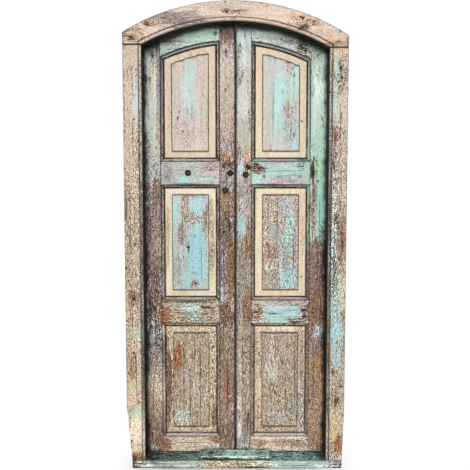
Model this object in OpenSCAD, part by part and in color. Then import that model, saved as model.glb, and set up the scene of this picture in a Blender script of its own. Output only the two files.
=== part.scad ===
// Old double-leaf panelled door in a segmental-arched timber frame.
// +Z is up, the front face looks along -Y, and the origin is the middle of the sill's underside.
// The leaves close against a stop in the frame's depth and swing away from the front, on iron butt hinges.

/* [Frame] */
// Width over both jambs
frame_w = 1055; // [1000:5:1150]
// Depth from front to back
frame_d = 150; // [140:1:180]
// Face width of each jamb
jamb_w = 86.5; // [80:0.5:95]
// Face width of the arched head
head_w = 88; // [80:1:95]
// Radius of the arch over the clear opening
arch_r = 908; // [880:1:940]
// Height of the arch's crown above the floor
arch_crown_z = 2146; // [2135:1:2165]
// How far the arch's centre lies off the middle, as hand work left it
arch_shift = -12; // [-15:1:15]
// Thickness of the sill
sill_h = 38; // [34:1:46]
// How far the leaves are let into the frame
rebate_w = 12.5; // [11:0.5:14]
// Diameter of the bead along the front inner edge
bead_d = 11; // [9:0.5:13]
// Width of the groove beside the bead
quirk_w = 4; // [3:0.5:5]
// Wood worn off the foot of the left jamb
worn_left = 24; // [4:1:28]
// Wood worn off the foot of the right jamb
worn_right = 8; // [4:1:20]

/* [Sill stop] */
// Length of the raised stop along the sill
stop_l = 368; // [300:2:420]
// Height of the stop above the sill
stop_h = 16; // [12:1:24]
// Run of its sloping ends
stop_slope = 15; // [8:1:24]

/* [Leaves] */
// Thickness of each leaf
leaf_t = 38; // [36:1:42]
// Gap between the two leaves
meet_gap = 5; // [5:0.5:8]
// Width of the stiles that meet in the middle
meeting_stile_w = 92; // [84:1:100]
// Width of the stiles that carry the hinges
hinge_stile_w = 104; // [98:1:112]
// Height of the bottom panel's lower edge
bottom_panel_z = 136; // [130:1:150]
// Height of the bottom panel
bottom_panel_h = 543; // [520:1:560]
// Width of the rail between the bottom and middle panels
lower_rail_w = 150; // [130:1:160]
// Height of the middle panel
middle_panel_h = 536; // [520:1:550]
// Width of the lock rail
lock_rail_w = 146; // [130:1:160]
// Width of the arched top rail
top_rail_w = 98; // [90:1:104]

/* [Panels] */
// Width of the moulded edge round each panel
sticking_w = 18; // [16:1:20]
// Width of a panel's sloping margin at its sides and arch
margin_side = 38; // [32:1:42]
// Width of a panel's sloping margin at its straight ends
margin_end = 34; // [30:1:40]
// How far a panel's field lies below the face of the stiles
field_sink = 4; // [3:0.5:5]
// Height of the step round the field
field_step = 2.5; // [2:0.5:3]

/* [Ironwork] */
// Height of a hinge
hinge_h = 100; // [80:2:120]
// Diameter of a hinge pin
pin_d = 7; // [6:0.5:8]
// Diameter of a domed stud
stud_d = 31; // [28:1:40]
// Height of a stud's dome
stud_dome_h = 9; // [7:1:12]

/* [Hidden] */
overlap = 1;
far = 3000;
arc_step = 15;

front_y = -frame_d / 2;
back_y = frame_d / 2;
face_y = back_y - leaf_t;
rebate_y = face_y - 0.5;
half_w = frame_w / 2;
clear_x = half_w - jamb_w;
rebate_x = clear_x + rebate_w;

// The arch: every curved edge of frame, leaves and panels is struck from one centre.
// That centre is off the middle, so a side that is drawn mirrored sees it on the other hand.
$arch_x = arch_shift;
arch_z = arch_crown_z - arch_r;
arch_zone_z = arch_z + 0.75 * arch_r;
function arch_height(r, x) = arch_z + sqrt(r * r - (x - $arch_x) * (x - $arch_x));

// Bead and its quirk, and the mitre that the bead makes at the springing
bead_zone = bead_d + quirk_w;
quirk_depth = bead_d / 2 + 0.5;
mitre_x = clear_x + bead_zone;
function spring_z() = arch_height(arch_r, clear_x);
function mitre_z() = arch_height(arch_r + bead_zone, mitre_x);

// The head's ends come down a little below the springing, to a level joint on each jamb
joint_drop = 5;
function joint_z() = spring_z() - joint_drop;

// Frame joints
frame_tenon_in = 22;
frame_tenon_y = 30;
head_tenon_w = 36;
head_tenon_h = 42;
sill_tenon_w = 26;
sill_tenon_h = 30;
frame_peg_d = 10;
frame_peg_l = 85;
frame_peg_x = clear_x + frame_tenon_in + head_tenon_w / 2;
frame_peg_up = 26;
wear_h = 270;
sill_left_x = -half_w + worn_left;
sill_right_x = half_w - worn_right - 2;

// Sill stop
stop_d = 95;
stop_gap = 1;
nail_d = 8;
nail_l = 34;
nail_pitch = stop_l / 3;

// Leaf, drawn as the right-hand one and mirrored for the left
leaf_gap = 4;
leaf_z = sill_h + leaf_gap;
leaf_x0 = meet_gap / 2;
leaf_x1 = rebate_x - 2.5;
leaf_top_r = arch_r + rebate_w - 3.5;
open_x0 = leaf_x0 + meeting_stile_w;
open_x1 = leaf_x1 - hinge_stile_w;
lower_rail_z = bottom_panel_z + bottom_panel_h;
middle_panel_z = lower_rail_z + lower_rail_w;
lock_rail_z = middle_panel_z + middle_panel_h;
top_panel_z = lock_rail_z + lock_rail_w;
open_top_r = leaf_top_r - top_rail_w;

// Depths below the leaf's face
sticking_depth = 11;
lip_w = 3;
lip_depth = 3;
ovolo_w = sticking_w - lip_w - 5;
ovolo_h = sticking_depth - lip_depth;
shoulder_depth = 13;
groove_depth = 14;
tongue_t = 8;
tongue_w = 9;
groove_w = tongue_w + 1;
tenon_depth = 13;
tenon_t = 12;
tenon_l = 62;
tenon_shoulder = 25;
peg_d = 9;
peg_l = 28;
peg_in = 49;

// Hinges
plate_t = 3;
plate_w = 28;
barrel_d = 13;
barrel_gap = 0.5;
knuckles = 5;
knuckle_h = hinge_h / knuckles;
knuckle_play = 0.5;
running_fit = 0.05;
hinge_x = (leaf_x1 + rebate_x) / 2;
hinge_y = back_y + barrel_d / 2 + barrel_gap;
hinge_zs = [300, 1090, 1800];
screw_d = 4;
screw_head_d = 8;
screw_head_h = 2.4;
screw_l = 26;
screw_spots = [[-21, 12], [-9, 36], [-21, 64], [-9, 88]];

// Studs: across from the meeting line, and up
stud_shank_d = 10;
stud_shank_l = 24;
left_studs = [[232, 1438], [25.5, 1438], [50.5, 1354]];
right_studs = [[49, 1430]];

// Extrusions of an outline along Y, X and Z, and a revolve about the arch's axis

module along_y(y0, y1) {
    translate([0, y1, 0]) rotate([90, 0, 0]) linear_extrude(y1 - y0) children();
}

module along_x(x0, x1) {
    translate([x0, 0, 0]) rotate([90, 0, 90]) linear_extrude(x1 - x0) children();
}

module along_z(z0, z1) {
    translate([0, 0, z0]) linear_extrude(z1 - z0) children();
}

module about_arch() {
    translate([$arch_x, 0, arch_z]) rotate([-90, 0, 0]) rotate_extrude($fn = 256) children();
}

module block(x, y, z) {
    translate([x[0], y[0], z[0]]) cube([x[1] - x[0], y[1] - y[0], z[1] - z[0]]);
}

module mirrored(left) {
    $arch_x = left ? -arch_shift : arch_shift;
    mirror([left ? 1 : 0, 0, 0]) children();
}

// Frame

// Half section of jamb or head: across from the clear opening, then front to back
function bead_points() = [
    for (a = [180:-arc_step:0])
        [bead_d / 2 * (1 + cos(a)), quirk_depth - bead_d / 2 * sin(a)]
];

function frame_section(width, edge) = concat(
    [[edge, rebate_y], [edge, front_y + quirk_depth]],
    [for (p = bead_points()) [edge + p[0], front_y + p[1]]],
    [
        [edge + bead_zone, front_y + quirk_depth], [edge + bead_zone, front_y],
        [edge + width, front_y], [edge + width, back_y],
        [edge + rebate_w, back_y], [edge + rebate_w, rebate_y]
    ]
);

// Everything below the bead's mitre
module below_mitre() {
    along_y(front_y - overlap, back_y + overlap) polygon([
        [clear_x - rebate_w, 0], [half_w + overlap, 0], [half_w + overlap, mitre_z()], [mitre_x, mitre_z()],
        [clear_x, spring_z()], [clear_x - rebate_w, spring_z()]
    ]);
}

module head_tenon(grow = 0) {
    x0 = clear_x + frame_tenon_in;
    block([x0, x0 + head_tenon_w], [-frame_tenon_y, frame_tenon_y],
        [joint_z() - overlap, joint_z() + head_tenon_h + grow]);
}

module sill_tenon(grow = 0) {
    x0 = clear_x + frame_tenon_in;
    block([x0, x0 + sill_tenon_w], [-frame_tenon_y, frame_tenon_y],
        [sill_h - sill_tenon_h - grow, sill_h + overlap]);
}

module frame_peg() {
    translate([frame_peg_x, front_y, joint_z() + frame_peg_up]) rotate([-90, 0, 0])
        cylinder(h = frame_peg_l, d = frame_peg_d, $fn = 48);
}

module arched_head() {
    color("burlywood") difference() {
        union() {
            difference() {
                intersection() {
                    about_arch() polygon(frame_section(head_w, arch_r));
                    block([-half_w, half_w], [front_y, back_y], [arch_zone_z, far]);
                }
                for (left = [false, true]) mirrored(left) below_mitre();
            }
            for (left = [false, true]) mirrored(left) intersection() {
                along_z(joint_z(), mitre_z()) polygon(frame_section(jamb_w, clear_x));
                below_mitre();
            }
        }
        for (left = [false, true]) mirrored(left) {
            head_tenon(grow = 2);
            frame_peg();
        }
    }
}

// A jamb's foot narrows where damp and knocks have worn its outer edge
module worn_foot(worn) {
    along_y(front_y - overlap, back_y + overlap) polygon([
        [half_w, sill_h + wear_h], [half_w + overlap, sill_h + wear_h],
        [half_w + overlap, sill_h - overlap], [half_w - worn, sill_h - overlap], [half_w - worn, sill_h],
        [half_w - 0.8 * worn, sill_h + 0.22 * wear_h], [half_w - 0.5 * worn, sill_h + 0.55 * wear_h]
    ]);
}

module jamb(worn) {
    color("tan") difference() {
        union() {
            along_z(sill_h, joint_z()) polygon(frame_section(jamb_w, clear_x));
            head_tenon();
            sill_tenon();
        }
        worn_foot(worn);
        frame_peg();
        for (z = hinge_zs) {
            hinge_recess([rebate_x - overlap, rebate_x + plate_t], z);
            for (s = screw_spots)
                screw_hole(rebate_x + plate_t, s, z, 1);
        }
    }
}

module frame_pegs() {
    color("sienna") for (left = [false, true]) mirrored(left) frame_peg();
}

module sill() {
    color("mediumaquamarine") difference() {
        block([sill_left_x, sill_right_x], [front_y, back_y], [0, sill_h]);
        for (left = [false, true]) mirrored(left) sill_tenon(grow = 2);
        stop_nails();
    }
}

// Raised stop on the sill that the closed leaves rest against
module sill_stop() {
    color("darkseagreen") difference() {
        along_y(face_y - stop_gap - stop_d, face_y - stop_gap) polygon([
            [-stop_l / 2, sill_h], [stop_l / 2, sill_h],
            [stop_l / 2 - stop_slope, sill_h + stop_h], [-stop_l / 2 + stop_slope, sill_h + stop_h]
        ]);
        stop_nails();
    }
}

module stop_nails() {
    color("dimgray") for (i = [-1:1])
        translate([i * nail_pitch, face_y - stop_gap - stop_d / 2, sill_h + stop_h - nail_l])
            cylinder(h = nail_l, d = nail_d, $fn = 48);
}

// Leaf joinery

// The moulded edge: distance out from the opening, and depth below the face
function sticking_points() = concat(
    [[sticking_w, -overlap], [sticking_w, lip_depth]],
    [for (a = [90:-arc_step:0]) [sticking_w - lip_w - ovolo_w * cos(a), sticking_depth - ovolo_h * sin(a)]],
    [[0, sticking_depth]]
);

// What the opening and its moulded edge take away, between two parallel edges
function sunk_between(low, high) = concat(
    [for (p = sticking_points()) [low - p[0], face_y + p[1]]],
    [[low, back_y + overlap], [high, back_y + overlap]],
    [for (i = [len(sticking_points()) - 1:-1:0])
        let (p = sticking_points()[i]) [high + p[0], face_y + p[1]]]
);

function sunk_arch() = concat(
    [[0, face_y - overlap]],
    [for (p = sticking_points()) [open_top_r + p[0], face_y + p[1]]],
    [[open_top_r, back_y + overlap], [0, back_y + overlap]]
);

function swapped(points) = [for (p = points) [p[1], p[0]]];

module sunk_opening(z0, z1) {
    intersection() {
        along_z(z0 - 2 * sticking_w, z1 + 2 * sticking_w) polygon(sunk_between(open_x0, open_x1));
        along_x(open_x0 - 2 * sticking_w, open_x1 + 2 * sticking_w)
            polygon(swapped(sunk_between(z0, z1)));
        if (z1 == far) about_arch() polygon(sunk_arch());
    }
}

module panel_groove(z0, z1) {
    intersection() {
        block([open_x0 - groove_w, open_x1 + groove_w],
            [face_y + groove_depth, face_y + groove_depth + tongue_t],
            [z0 - groove_w, z1 + groove_w]);
        if (z1 == far) about_arch() square([open_top_r + groove_w, far]);
    }
}

module sunk_openings() {
    for (p = [
        [bottom_panel_z, lower_rail_z], [middle_panel_z, lock_rail_z], [top_panel_z, far]
    ]) {
        sunk_opening(p[0], p[1]);
        panel_groove(p[0], p[1]);
    }
}

// A leaf's full height from one side line to another, under the arched top edge
module leaf_slab(x0, x1) {
    difference() {
        block([x0, x1], [face_y, back_y], [leaf_z, arch_z + leaf_top_r + overlap]);
        intersection() {
            about_arch() translate([leaf_top_r, -frame_d]) square([frame_w, 2 * frame_d]);
            block([-overlap, half_w], [-frame_d, frame_d], [arch_zone_z, far]);
        }
    }
}

// Front of a rail: its ends reach the moulding's outer line, and its corners are mitred there
function rail_front(z0, z1, low_mitre) = concat(
    low_mitre
        ? [[open_x0, z0], [open_x1, z0], [open_x1 + sticking_w, z0 + sticking_w]]
        : [[open_x0 - sticking_w, z0], [open_x1 + sticking_w, z0]],
    [[open_x1 + sticking_w, z1 - sticking_w], [open_x1, z1], [open_x0, z1], [open_x0 - sticking_w, z1 - sticking_w]],
    low_mitre ? [[open_x0 - sticking_w, z0 + sticking_w]] : []
);

function top_rail_front() = [
    [open_x0, arch_height(open_top_r, open_x0)],
    [open_x0, top_panel_z], [open_x1, top_panel_z],
    [open_x1, arch_height(open_top_r, open_x1)],
    [open_x1 + sticking_w, arch_height(open_top_r + sticking_w, open_x1 + sticking_w)],
    [open_x1 + sticking_w, far], [open_x0 - sticking_w, far],
    [open_x0 - sticking_w, arch_height(open_top_r + sticking_w, open_x0 - sticking_w)]
];

module rail_face(points) {
    along_y(face_y - overlap, face_y + shoulder_depth) polygon(points);
}

module tenons(z0, z1, grow = 0) {
    block([open_x0 - tenon_l - grow, open_x1 + tenon_l + grow],
        [face_y + tenon_depth, face_y + tenon_depth + tenon_t], [z0, z1]);
}

// Top rail's tenons step down with the arch, one at each end
function meeting_tenon_z() = [arch_height(open_top_r, open_x0) + 12, arch_height(leaf_top_r, open_x0) - 26];
function hinge_tenon_z() = [arch_height(open_top_r, open_x1) + 12, arch_height(leaf_top_r, leaf_x1) - 20];

module top_tenons(grow = 0) {
    y = [face_y + tenon_depth, face_y + tenon_depth + tenon_t];
    block([open_x0 - tenon_l - grow, open_x0], y, meeting_tenon_z());
    block([open_x1, open_x1 + tenon_l + grow], y, hinge_tenon_z());
}

module straight_tenons(grow = 0) {
    tenons(leaf_z + tenon_shoulder, bottom_panel_z - tenon_shoulder, grow);
    tenons(lower_rail_z + tenon_shoulder, middle_panel_z - tenon_shoulder, grow);
    tenons(lock_rail_z + tenon_shoulder, top_panel_z - tenon_shoulder, grow);
}

// One peg through each narrow tenon and two through each wide one
peg_rows = [
    (leaf_z + bottom_panel_z) / 2,
    lower_rail_z + 38, middle_panel_z - 38,
    lock_rail_z + 36, top_panel_z - 36
];
meeting_peg_x = open_x0 - peg_in;
hinge_peg_x = open_x1 + peg_in;
function middle(span) = (span[0] + span[1]) / 2;
function peg_spots() = concat(
    [for (z = peg_rows) each [[meeting_peg_x, z], [hinge_peg_x, z]]],
    [[meeting_peg_x, middle(meeting_tenon_z())], [hinge_peg_x, middle(hinge_tenon_z())]]
);

module leaf_pegs() {
    color("sienna") for (p = peg_spots())
        translate([p[0], face_y, p[1]]) rotate([-90, 0, 0]) cylinder(h = peg_l, d = peg_d, $fn = 48);
}

module stud_shanks(spots) {
    for (p = spots)
        translate([p[0], face_y, p[1]]) rotate([-90, 0, 0])
            cylinder(h = stud_shank_l, d = stud_shank_d, $fn = 48);
}

// Recesses for everything that the leaf's timbers hold
module leaf_fixings(spots) {
    leaf_pegs();
    stud_shanks(spots);
}

module meeting_stile(spots) {
    color("rosybrown") difference() {
        leaf_slab(leaf_x0, open_x0);
        stile_cuts();
        leaf_fixings(spots);
    }
}

module hinge_stile(spots) {
    color("darkseagreen") difference() {
        leaf_slab(open_x1, leaf_x1);
        stile_cuts();
        leaf_fixings(spots);
        for (z = hinge_zs) {
            hinge_recess([leaf_x1 - plate_t, leaf_x1 + overlap], z);
            for (s = screw_spots)
                screw_hole(leaf_x1 - plate_t, s, z, -1);
        }
    }
}

module stile_cuts() {
    sunk_openings();
    rail_face(rail_front(leaf_z - overlap, bottom_panel_z, false));
    rail_face(rail_front(lower_rail_z, middle_panel_z, true));
    rail_face(rail_front(lock_rail_z, top_panel_z, true));
    rail_face(top_rail_front());
    straight_tenons(grow = 2);
    top_tenons(grow = 2);
}

module rail(z0, z1, low_mitre, spots) {
    difference() {
        union() {
            along_y(face_y, face_y + shoulder_depth) polygon(rail_front(z0, z1, low_mitre));
            block([open_x0, open_x1], [face_y + shoulder_depth, back_y], [z0, z1]);
            tenons(z0 + tenon_shoulder, z1 - tenon_shoulder);
        }
        sunk_openings();
        leaf_fixings(spots);
    }
}

module lock_rail(spots) {
    color("lightblue") rail(lock_rail_z, top_panel_z, true, spots);
}

module lower_rail(spots) {
    color("paleturquoise") rail(lower_rail_z, middle_panel_z, true, spots);
}

module bottom_rail(spots) {
    color("rosybrown") rail(leaf_z, bottom_panel_z, false, spots);
}

module top_rail() {
    color("darkseagreen") difference() {
        union() {
            intersection() {
                leaf_slab(open_x0 - sticking_w, open_x1 + sticking_w);
                union() {
                    rail_face(top_rail_front());
                    block([open_x0, open_x1], [face_y + shoulder_depth, back_y + overlap], [top_panel_z, far]);
                }
            }
            top_tenons();
        }
        sunk_opening(top_panel_z, far);
        panel_groove(top_panel_z, far);
        leaf_pegs();
    }
}

// Raised panels: a tongue in the groove, a sloping margin, a small step and a flat field

function panel_between(low, high, margin) = [
    [low - tongue_w, face_y + groove_depth + tongue_t], [low - tongue_w, face_y + groove_depth],
    [low, face_y + groove_depth], [low + margin, face_y + field_sink + field_step],
    [low + margin, face_y + field_sink], [high - margin, face_y + field_sink],
    [high - margin, face_y + field_sink + field_step], [high, face_y + groove_depth],
    [high + tongue_w, face_y + groove_depth], [high + tongue_w, face_y + groove_depth + tongue_t]
];

function panel_arch() = [
    [0, face_y + field_sink], [open_top_r - margin_side, face_y + field_sink],
    [open_top_r - margin_side, face_y + field_sink + field_step], [open_top_r, face_y + groove_depth],
    [open_top_r + tongue_w, face_y + groove_depth], [open_top_r + tongue_w, face_y + groove_depth + tongue_t],
    [0, face_y + groove_depth + tongue_t]
];

module panel(z0, z1) {
    intersection() {
        along_z(z0 - 2 * tongue_w, z1 + 2 * tongue_w) polygon(panel_between(open_x0, open_x1, margin_side));
        along_x(open_x0 - 2 * tongue_w, open_x1 + 2 * tongue_w)
            polygon(swapped(panel_between(z0, z1, margin_end)));
        if (z1 == far) about_arch() polygon(panel_arch());
    }
}

module top_panel() {
    color("powderblue") panel(top_panel_z, far);
}

module middle_panel() {
    color("lightblue") panel(middle_panel_z, lock_rail_z);
}

module bottom_panel() {
    color("tan") panel(bottom_panel_z, lower_rail_z);
}

// Ironwork

module hinge_recess(x, z) {
    block(x, [back_y - plate_w, back_y + overlap], [z, z + hinge_h]);
}

// A screw that sinks along X from the plate's bedded face, with its spot across and up the plate
module screw_hole(x, spot, z, way) {
    translate([x, back_y + spot[0], z + spot[1]]) rotate([0, 90 * way, 0])
        cylinder(h = screw_l - plate_t, d = screw_d, $fn = 32);
}

module screw(x, spot, z, way) {
    translate([x, back_y + spot[0], z + spot[1]]) rotate([0, 90 * way, 0])
        rotate_extrude($fn = 32) polygon([
            [0, 0], [screw_head_d / 2, 0], [screw_d / 2, screw_head_h], [screw_d / 2, screw_l], [0, screw_l]
        ]);
}

module hinge_screws(x, way) {
    color("dimgray") for (z = hinge_zs) for (s = screw_spots) screw(x, s, z, way);
}

module jamb_hinge_screws() {
    hinge_screws(rebate_x, 1);
}

module leaf_hinge_screws() {
    hinge_screws(leaf_x1, -1);
}

// Hinge plate with its share of the knuckles, bedded in the recess from x_in to x_out
module hinge_plate(x_in, x_out, first, bore_d, z) {
    difference() {
        union() {
            block([x_in, x_out], [back_y - plate_w, back_y - barrel_gap], [z, z + hinge_h]);
            for (k = [first:2:knuckles - 1]) {
                z0 = z + k * knuckle_h + (k > 0 ? knuckle_play / 2 : 0);
                z1 = z + (k + 1) * knuckle_h - (k < knuckles - 1 ? knuckle_play / 2 : 0);
                block([x_in, x_out], [back_y - barrel_gap - overlap, hinge_y], [z0, z1]);
                translate([hinge_x, hinge_y, z0]) cylinder(h = z1 - z0, d = barrel_d, $fn = 64);
            }
        }
        translate([hinge_x, hinge_y, z - overlap]) cylinder(h = hinge_h + 2 * overlap, d = bore_d, $fn = 64);
        for (s = screw_spots)
            screw(x_in > hinge_x ? x_in : x_out, s, z, x_in > hinge_x ? 1 : -1);
    }
}

module jamb_hinge_plates() {
    color("dimgray") for (z = hinge_zs) hinge_plate(rebate_x, rebate_x + plate_t, 0, pin_d, z);
}

module leaf_hinge_plates() {
    color("dimgray") for (z = hinge_zs)
        hinge_plate(leaf_x1 - plate_t, leaf_x1, 1, pin_d + 2 * running_fit, z);
}

// A pin with a button head that sits on the top knuckle
module hinge_pins() {
    color("gray") for (z = hinge_zs)
        translate([hinge_x, hinge_y, z]) rotate_extrude($fn = 64) polygon([
            [0, 0], [pin_d / 2, 0], [pin_d / 2, hinge_h], [barrel_d / 2, hinge_h],
            [barrel_d / 2 - 0.5, hinge_h + 2.5], [barrel_d / 4, hinge_h + 4], [0, hinge_h + 4]
        ]);
}

// A hand-forged stud: a domed head on a round shank
function dome_points(r, h) =
    let (ball_r = (r * r + h * h) / (2 * h), edge = asin(r / ball_r))
    [for (i = [0:8]) let (a = edge * (1 - i / 8)) [ball_r * sin(a), ball_r * cos(a) - ball_r + h]];

module studs(spots) {
    color("#2b2725") for (p = spots)
        translate([p[0], face_y, p[1]]) rotate([90, 0, 0]) rotate_extrude($fn = 64) polygon(concat(
            [[0, -stud_shank_l], [stud_shank_d / 2, -stud_shank_l], [stud_shank_d / 2, 0]],
            dome_points(stud_d / 2, stud_dome_h)
        ));
}

// Frame and its fixed ironwork
arched_head();
mirrored(true) jamb(worn_left);  // left_jamb
jamb(worn_right);  // right_jamb
sill();
sill_stop();
stop_nails();  // sill_stop_nails
frame_pegs();
mirrored(true) jamb_hinge_plates();  // left_jamb_hinge_plates
jamb_hinge_plates();  // right_jamb_hinge_plates
mirrored(true) hinge_pins();  // left_hinge_pins
hinge_pins();  // right_hinge_pins
mirrored(true) jamb_hinge_screws();  // left_jamb_hinge_screws
jamb_hinge_screws();  // right_jamb_hinge_screws

// Left leaf
mirrored(true) hinge_stile(left_studs);  // left_hinge_stile
mirrored(true) meeting_stile(left_studs);  // left_meeting_stile
mirrored(true) top_rail();  // left_top_rail
mirrored(true) lock_rail(left_studs);  // left_lock_rail
mirrored(true) lower_rail(left_studs);  // left_lower_rail
mirrored(true) bottom_rail(left_studs);  // left_bottom_rail
mirrored(true) top_panel();  // left_top_panel
mirrored(true) middle_panel();  // left_middle_panel
mirrored(true) bottom_panel();  // left_bottom_panel
mirrored(true) leaf_pegs();  // left_leaf_pegs
mirrored(true) studs(left_studs);
mirrored(true) leaf_hinge_plates();  // left_leaf_hinge_plates
mirrored(true) leaf_hinge_screws();  // left_leaf_hinge_screws

// Right leaf
hinge_stile(right_studs);  // right_hinge_stile
meeting_stile(right_studs);  // right_meeting_stile
top_rail();  // right_top_rail
lock_rail(right_studs);  // right_lock_rail
lower_rail(right_studs);  // right_lower_rail
bottom_rail(right_studs);  // right_bottom_rail
top_panel();  // right_top_panel
middle_panel();  // right_middle_panel
bottom_panel();  // right_bottom_panel
leaf_pegs();  // right_leaf_pegs
studs(right_studs);
leaf_hinge_plates();  // right_leaf_hinge_plates
leaf_hinge_screws();  // right_leaf_hinge_screws
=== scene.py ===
import math

import bmesh
import bpy
import numpy as np
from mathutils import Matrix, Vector, noise


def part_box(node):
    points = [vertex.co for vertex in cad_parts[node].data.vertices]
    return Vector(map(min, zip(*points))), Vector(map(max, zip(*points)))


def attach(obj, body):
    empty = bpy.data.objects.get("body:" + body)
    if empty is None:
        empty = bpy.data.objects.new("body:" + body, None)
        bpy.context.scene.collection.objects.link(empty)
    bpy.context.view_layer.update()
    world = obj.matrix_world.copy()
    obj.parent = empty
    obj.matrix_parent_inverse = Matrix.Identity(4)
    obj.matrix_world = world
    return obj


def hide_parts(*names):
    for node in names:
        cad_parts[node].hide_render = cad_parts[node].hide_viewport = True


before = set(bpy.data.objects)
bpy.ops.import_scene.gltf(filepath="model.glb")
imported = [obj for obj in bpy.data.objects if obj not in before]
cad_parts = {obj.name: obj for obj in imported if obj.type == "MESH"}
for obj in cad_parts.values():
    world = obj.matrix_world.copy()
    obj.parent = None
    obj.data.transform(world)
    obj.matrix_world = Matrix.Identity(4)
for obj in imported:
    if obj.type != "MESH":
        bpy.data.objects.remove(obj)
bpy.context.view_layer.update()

# Arched head of the frame.
# One curved hardwood timber with a bead run along its inner edge, pegged down onto the two jambs.
# It is oil painted in a pale blush over older coats, and its grain and knots show through.
MM = 0.001
X, Y, Z = 0, 1, 2
# In millimetres: the arch's centre, the radii of the rebate and of the head's outer edge, half the width
arch_x, arch_z, rebate_r, head_r, frame_half = -12, 1238, 920.5, 996, 527.5
left_joint_z, right_joint_z = 2034, 2020.5

blush, oak, chalk = "#d8c3b2", "#b09a84", "#efe9dd"
bottle, black_green_shade = "#2c3c20", "#1c2012"


def linear(colour):
    """The linear red, green and blue of an sRGB hex colour."""
    parts = [int(colour[i:i + 2], 16) / 255 for i in (1, 3, 5)]
    return np.array([p / 12.92 if p <= 0.04045 else ((p + 0.055) / 1.055) ** 2.4 for p in parts])


def feed(tree, node, inputs):
    """Sets each input of a node to a value, or links it to a socket or to a node's first output in use."""
    for key, value in inputs.items():
        if isinstance(value, bpy.types.Node):
            value = next(socket for socket in value.outputs if socket.enabled)
        if isinstance(value, bpy.types.NodeSocket):
            tree.links.new(value, node.inputs[key])
        else:
            node.inputs[key].default_value = value


def add(tree, kind, inputs=None, **settings):
    """Adds a node with its settings and with what feeds it."""
    made = tree.nodes.new(kind)
    for key, value in settings.items():
        setattr(made, key, value)
    feed(tree, made, inputs or {})
    return made


def blank(name):
    """A new material, its node tree, its shader and the piece's own coordinates."""
    finish = bpy.data.materials.new(name)
    finish.use_nodes = True
    tree = finish.node_tree
    place = add(tree, "ShaderNodeTexCoord").outputs["Object"]
    return finish, tree, tree.nodes["Principled BSDF"], place


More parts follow.
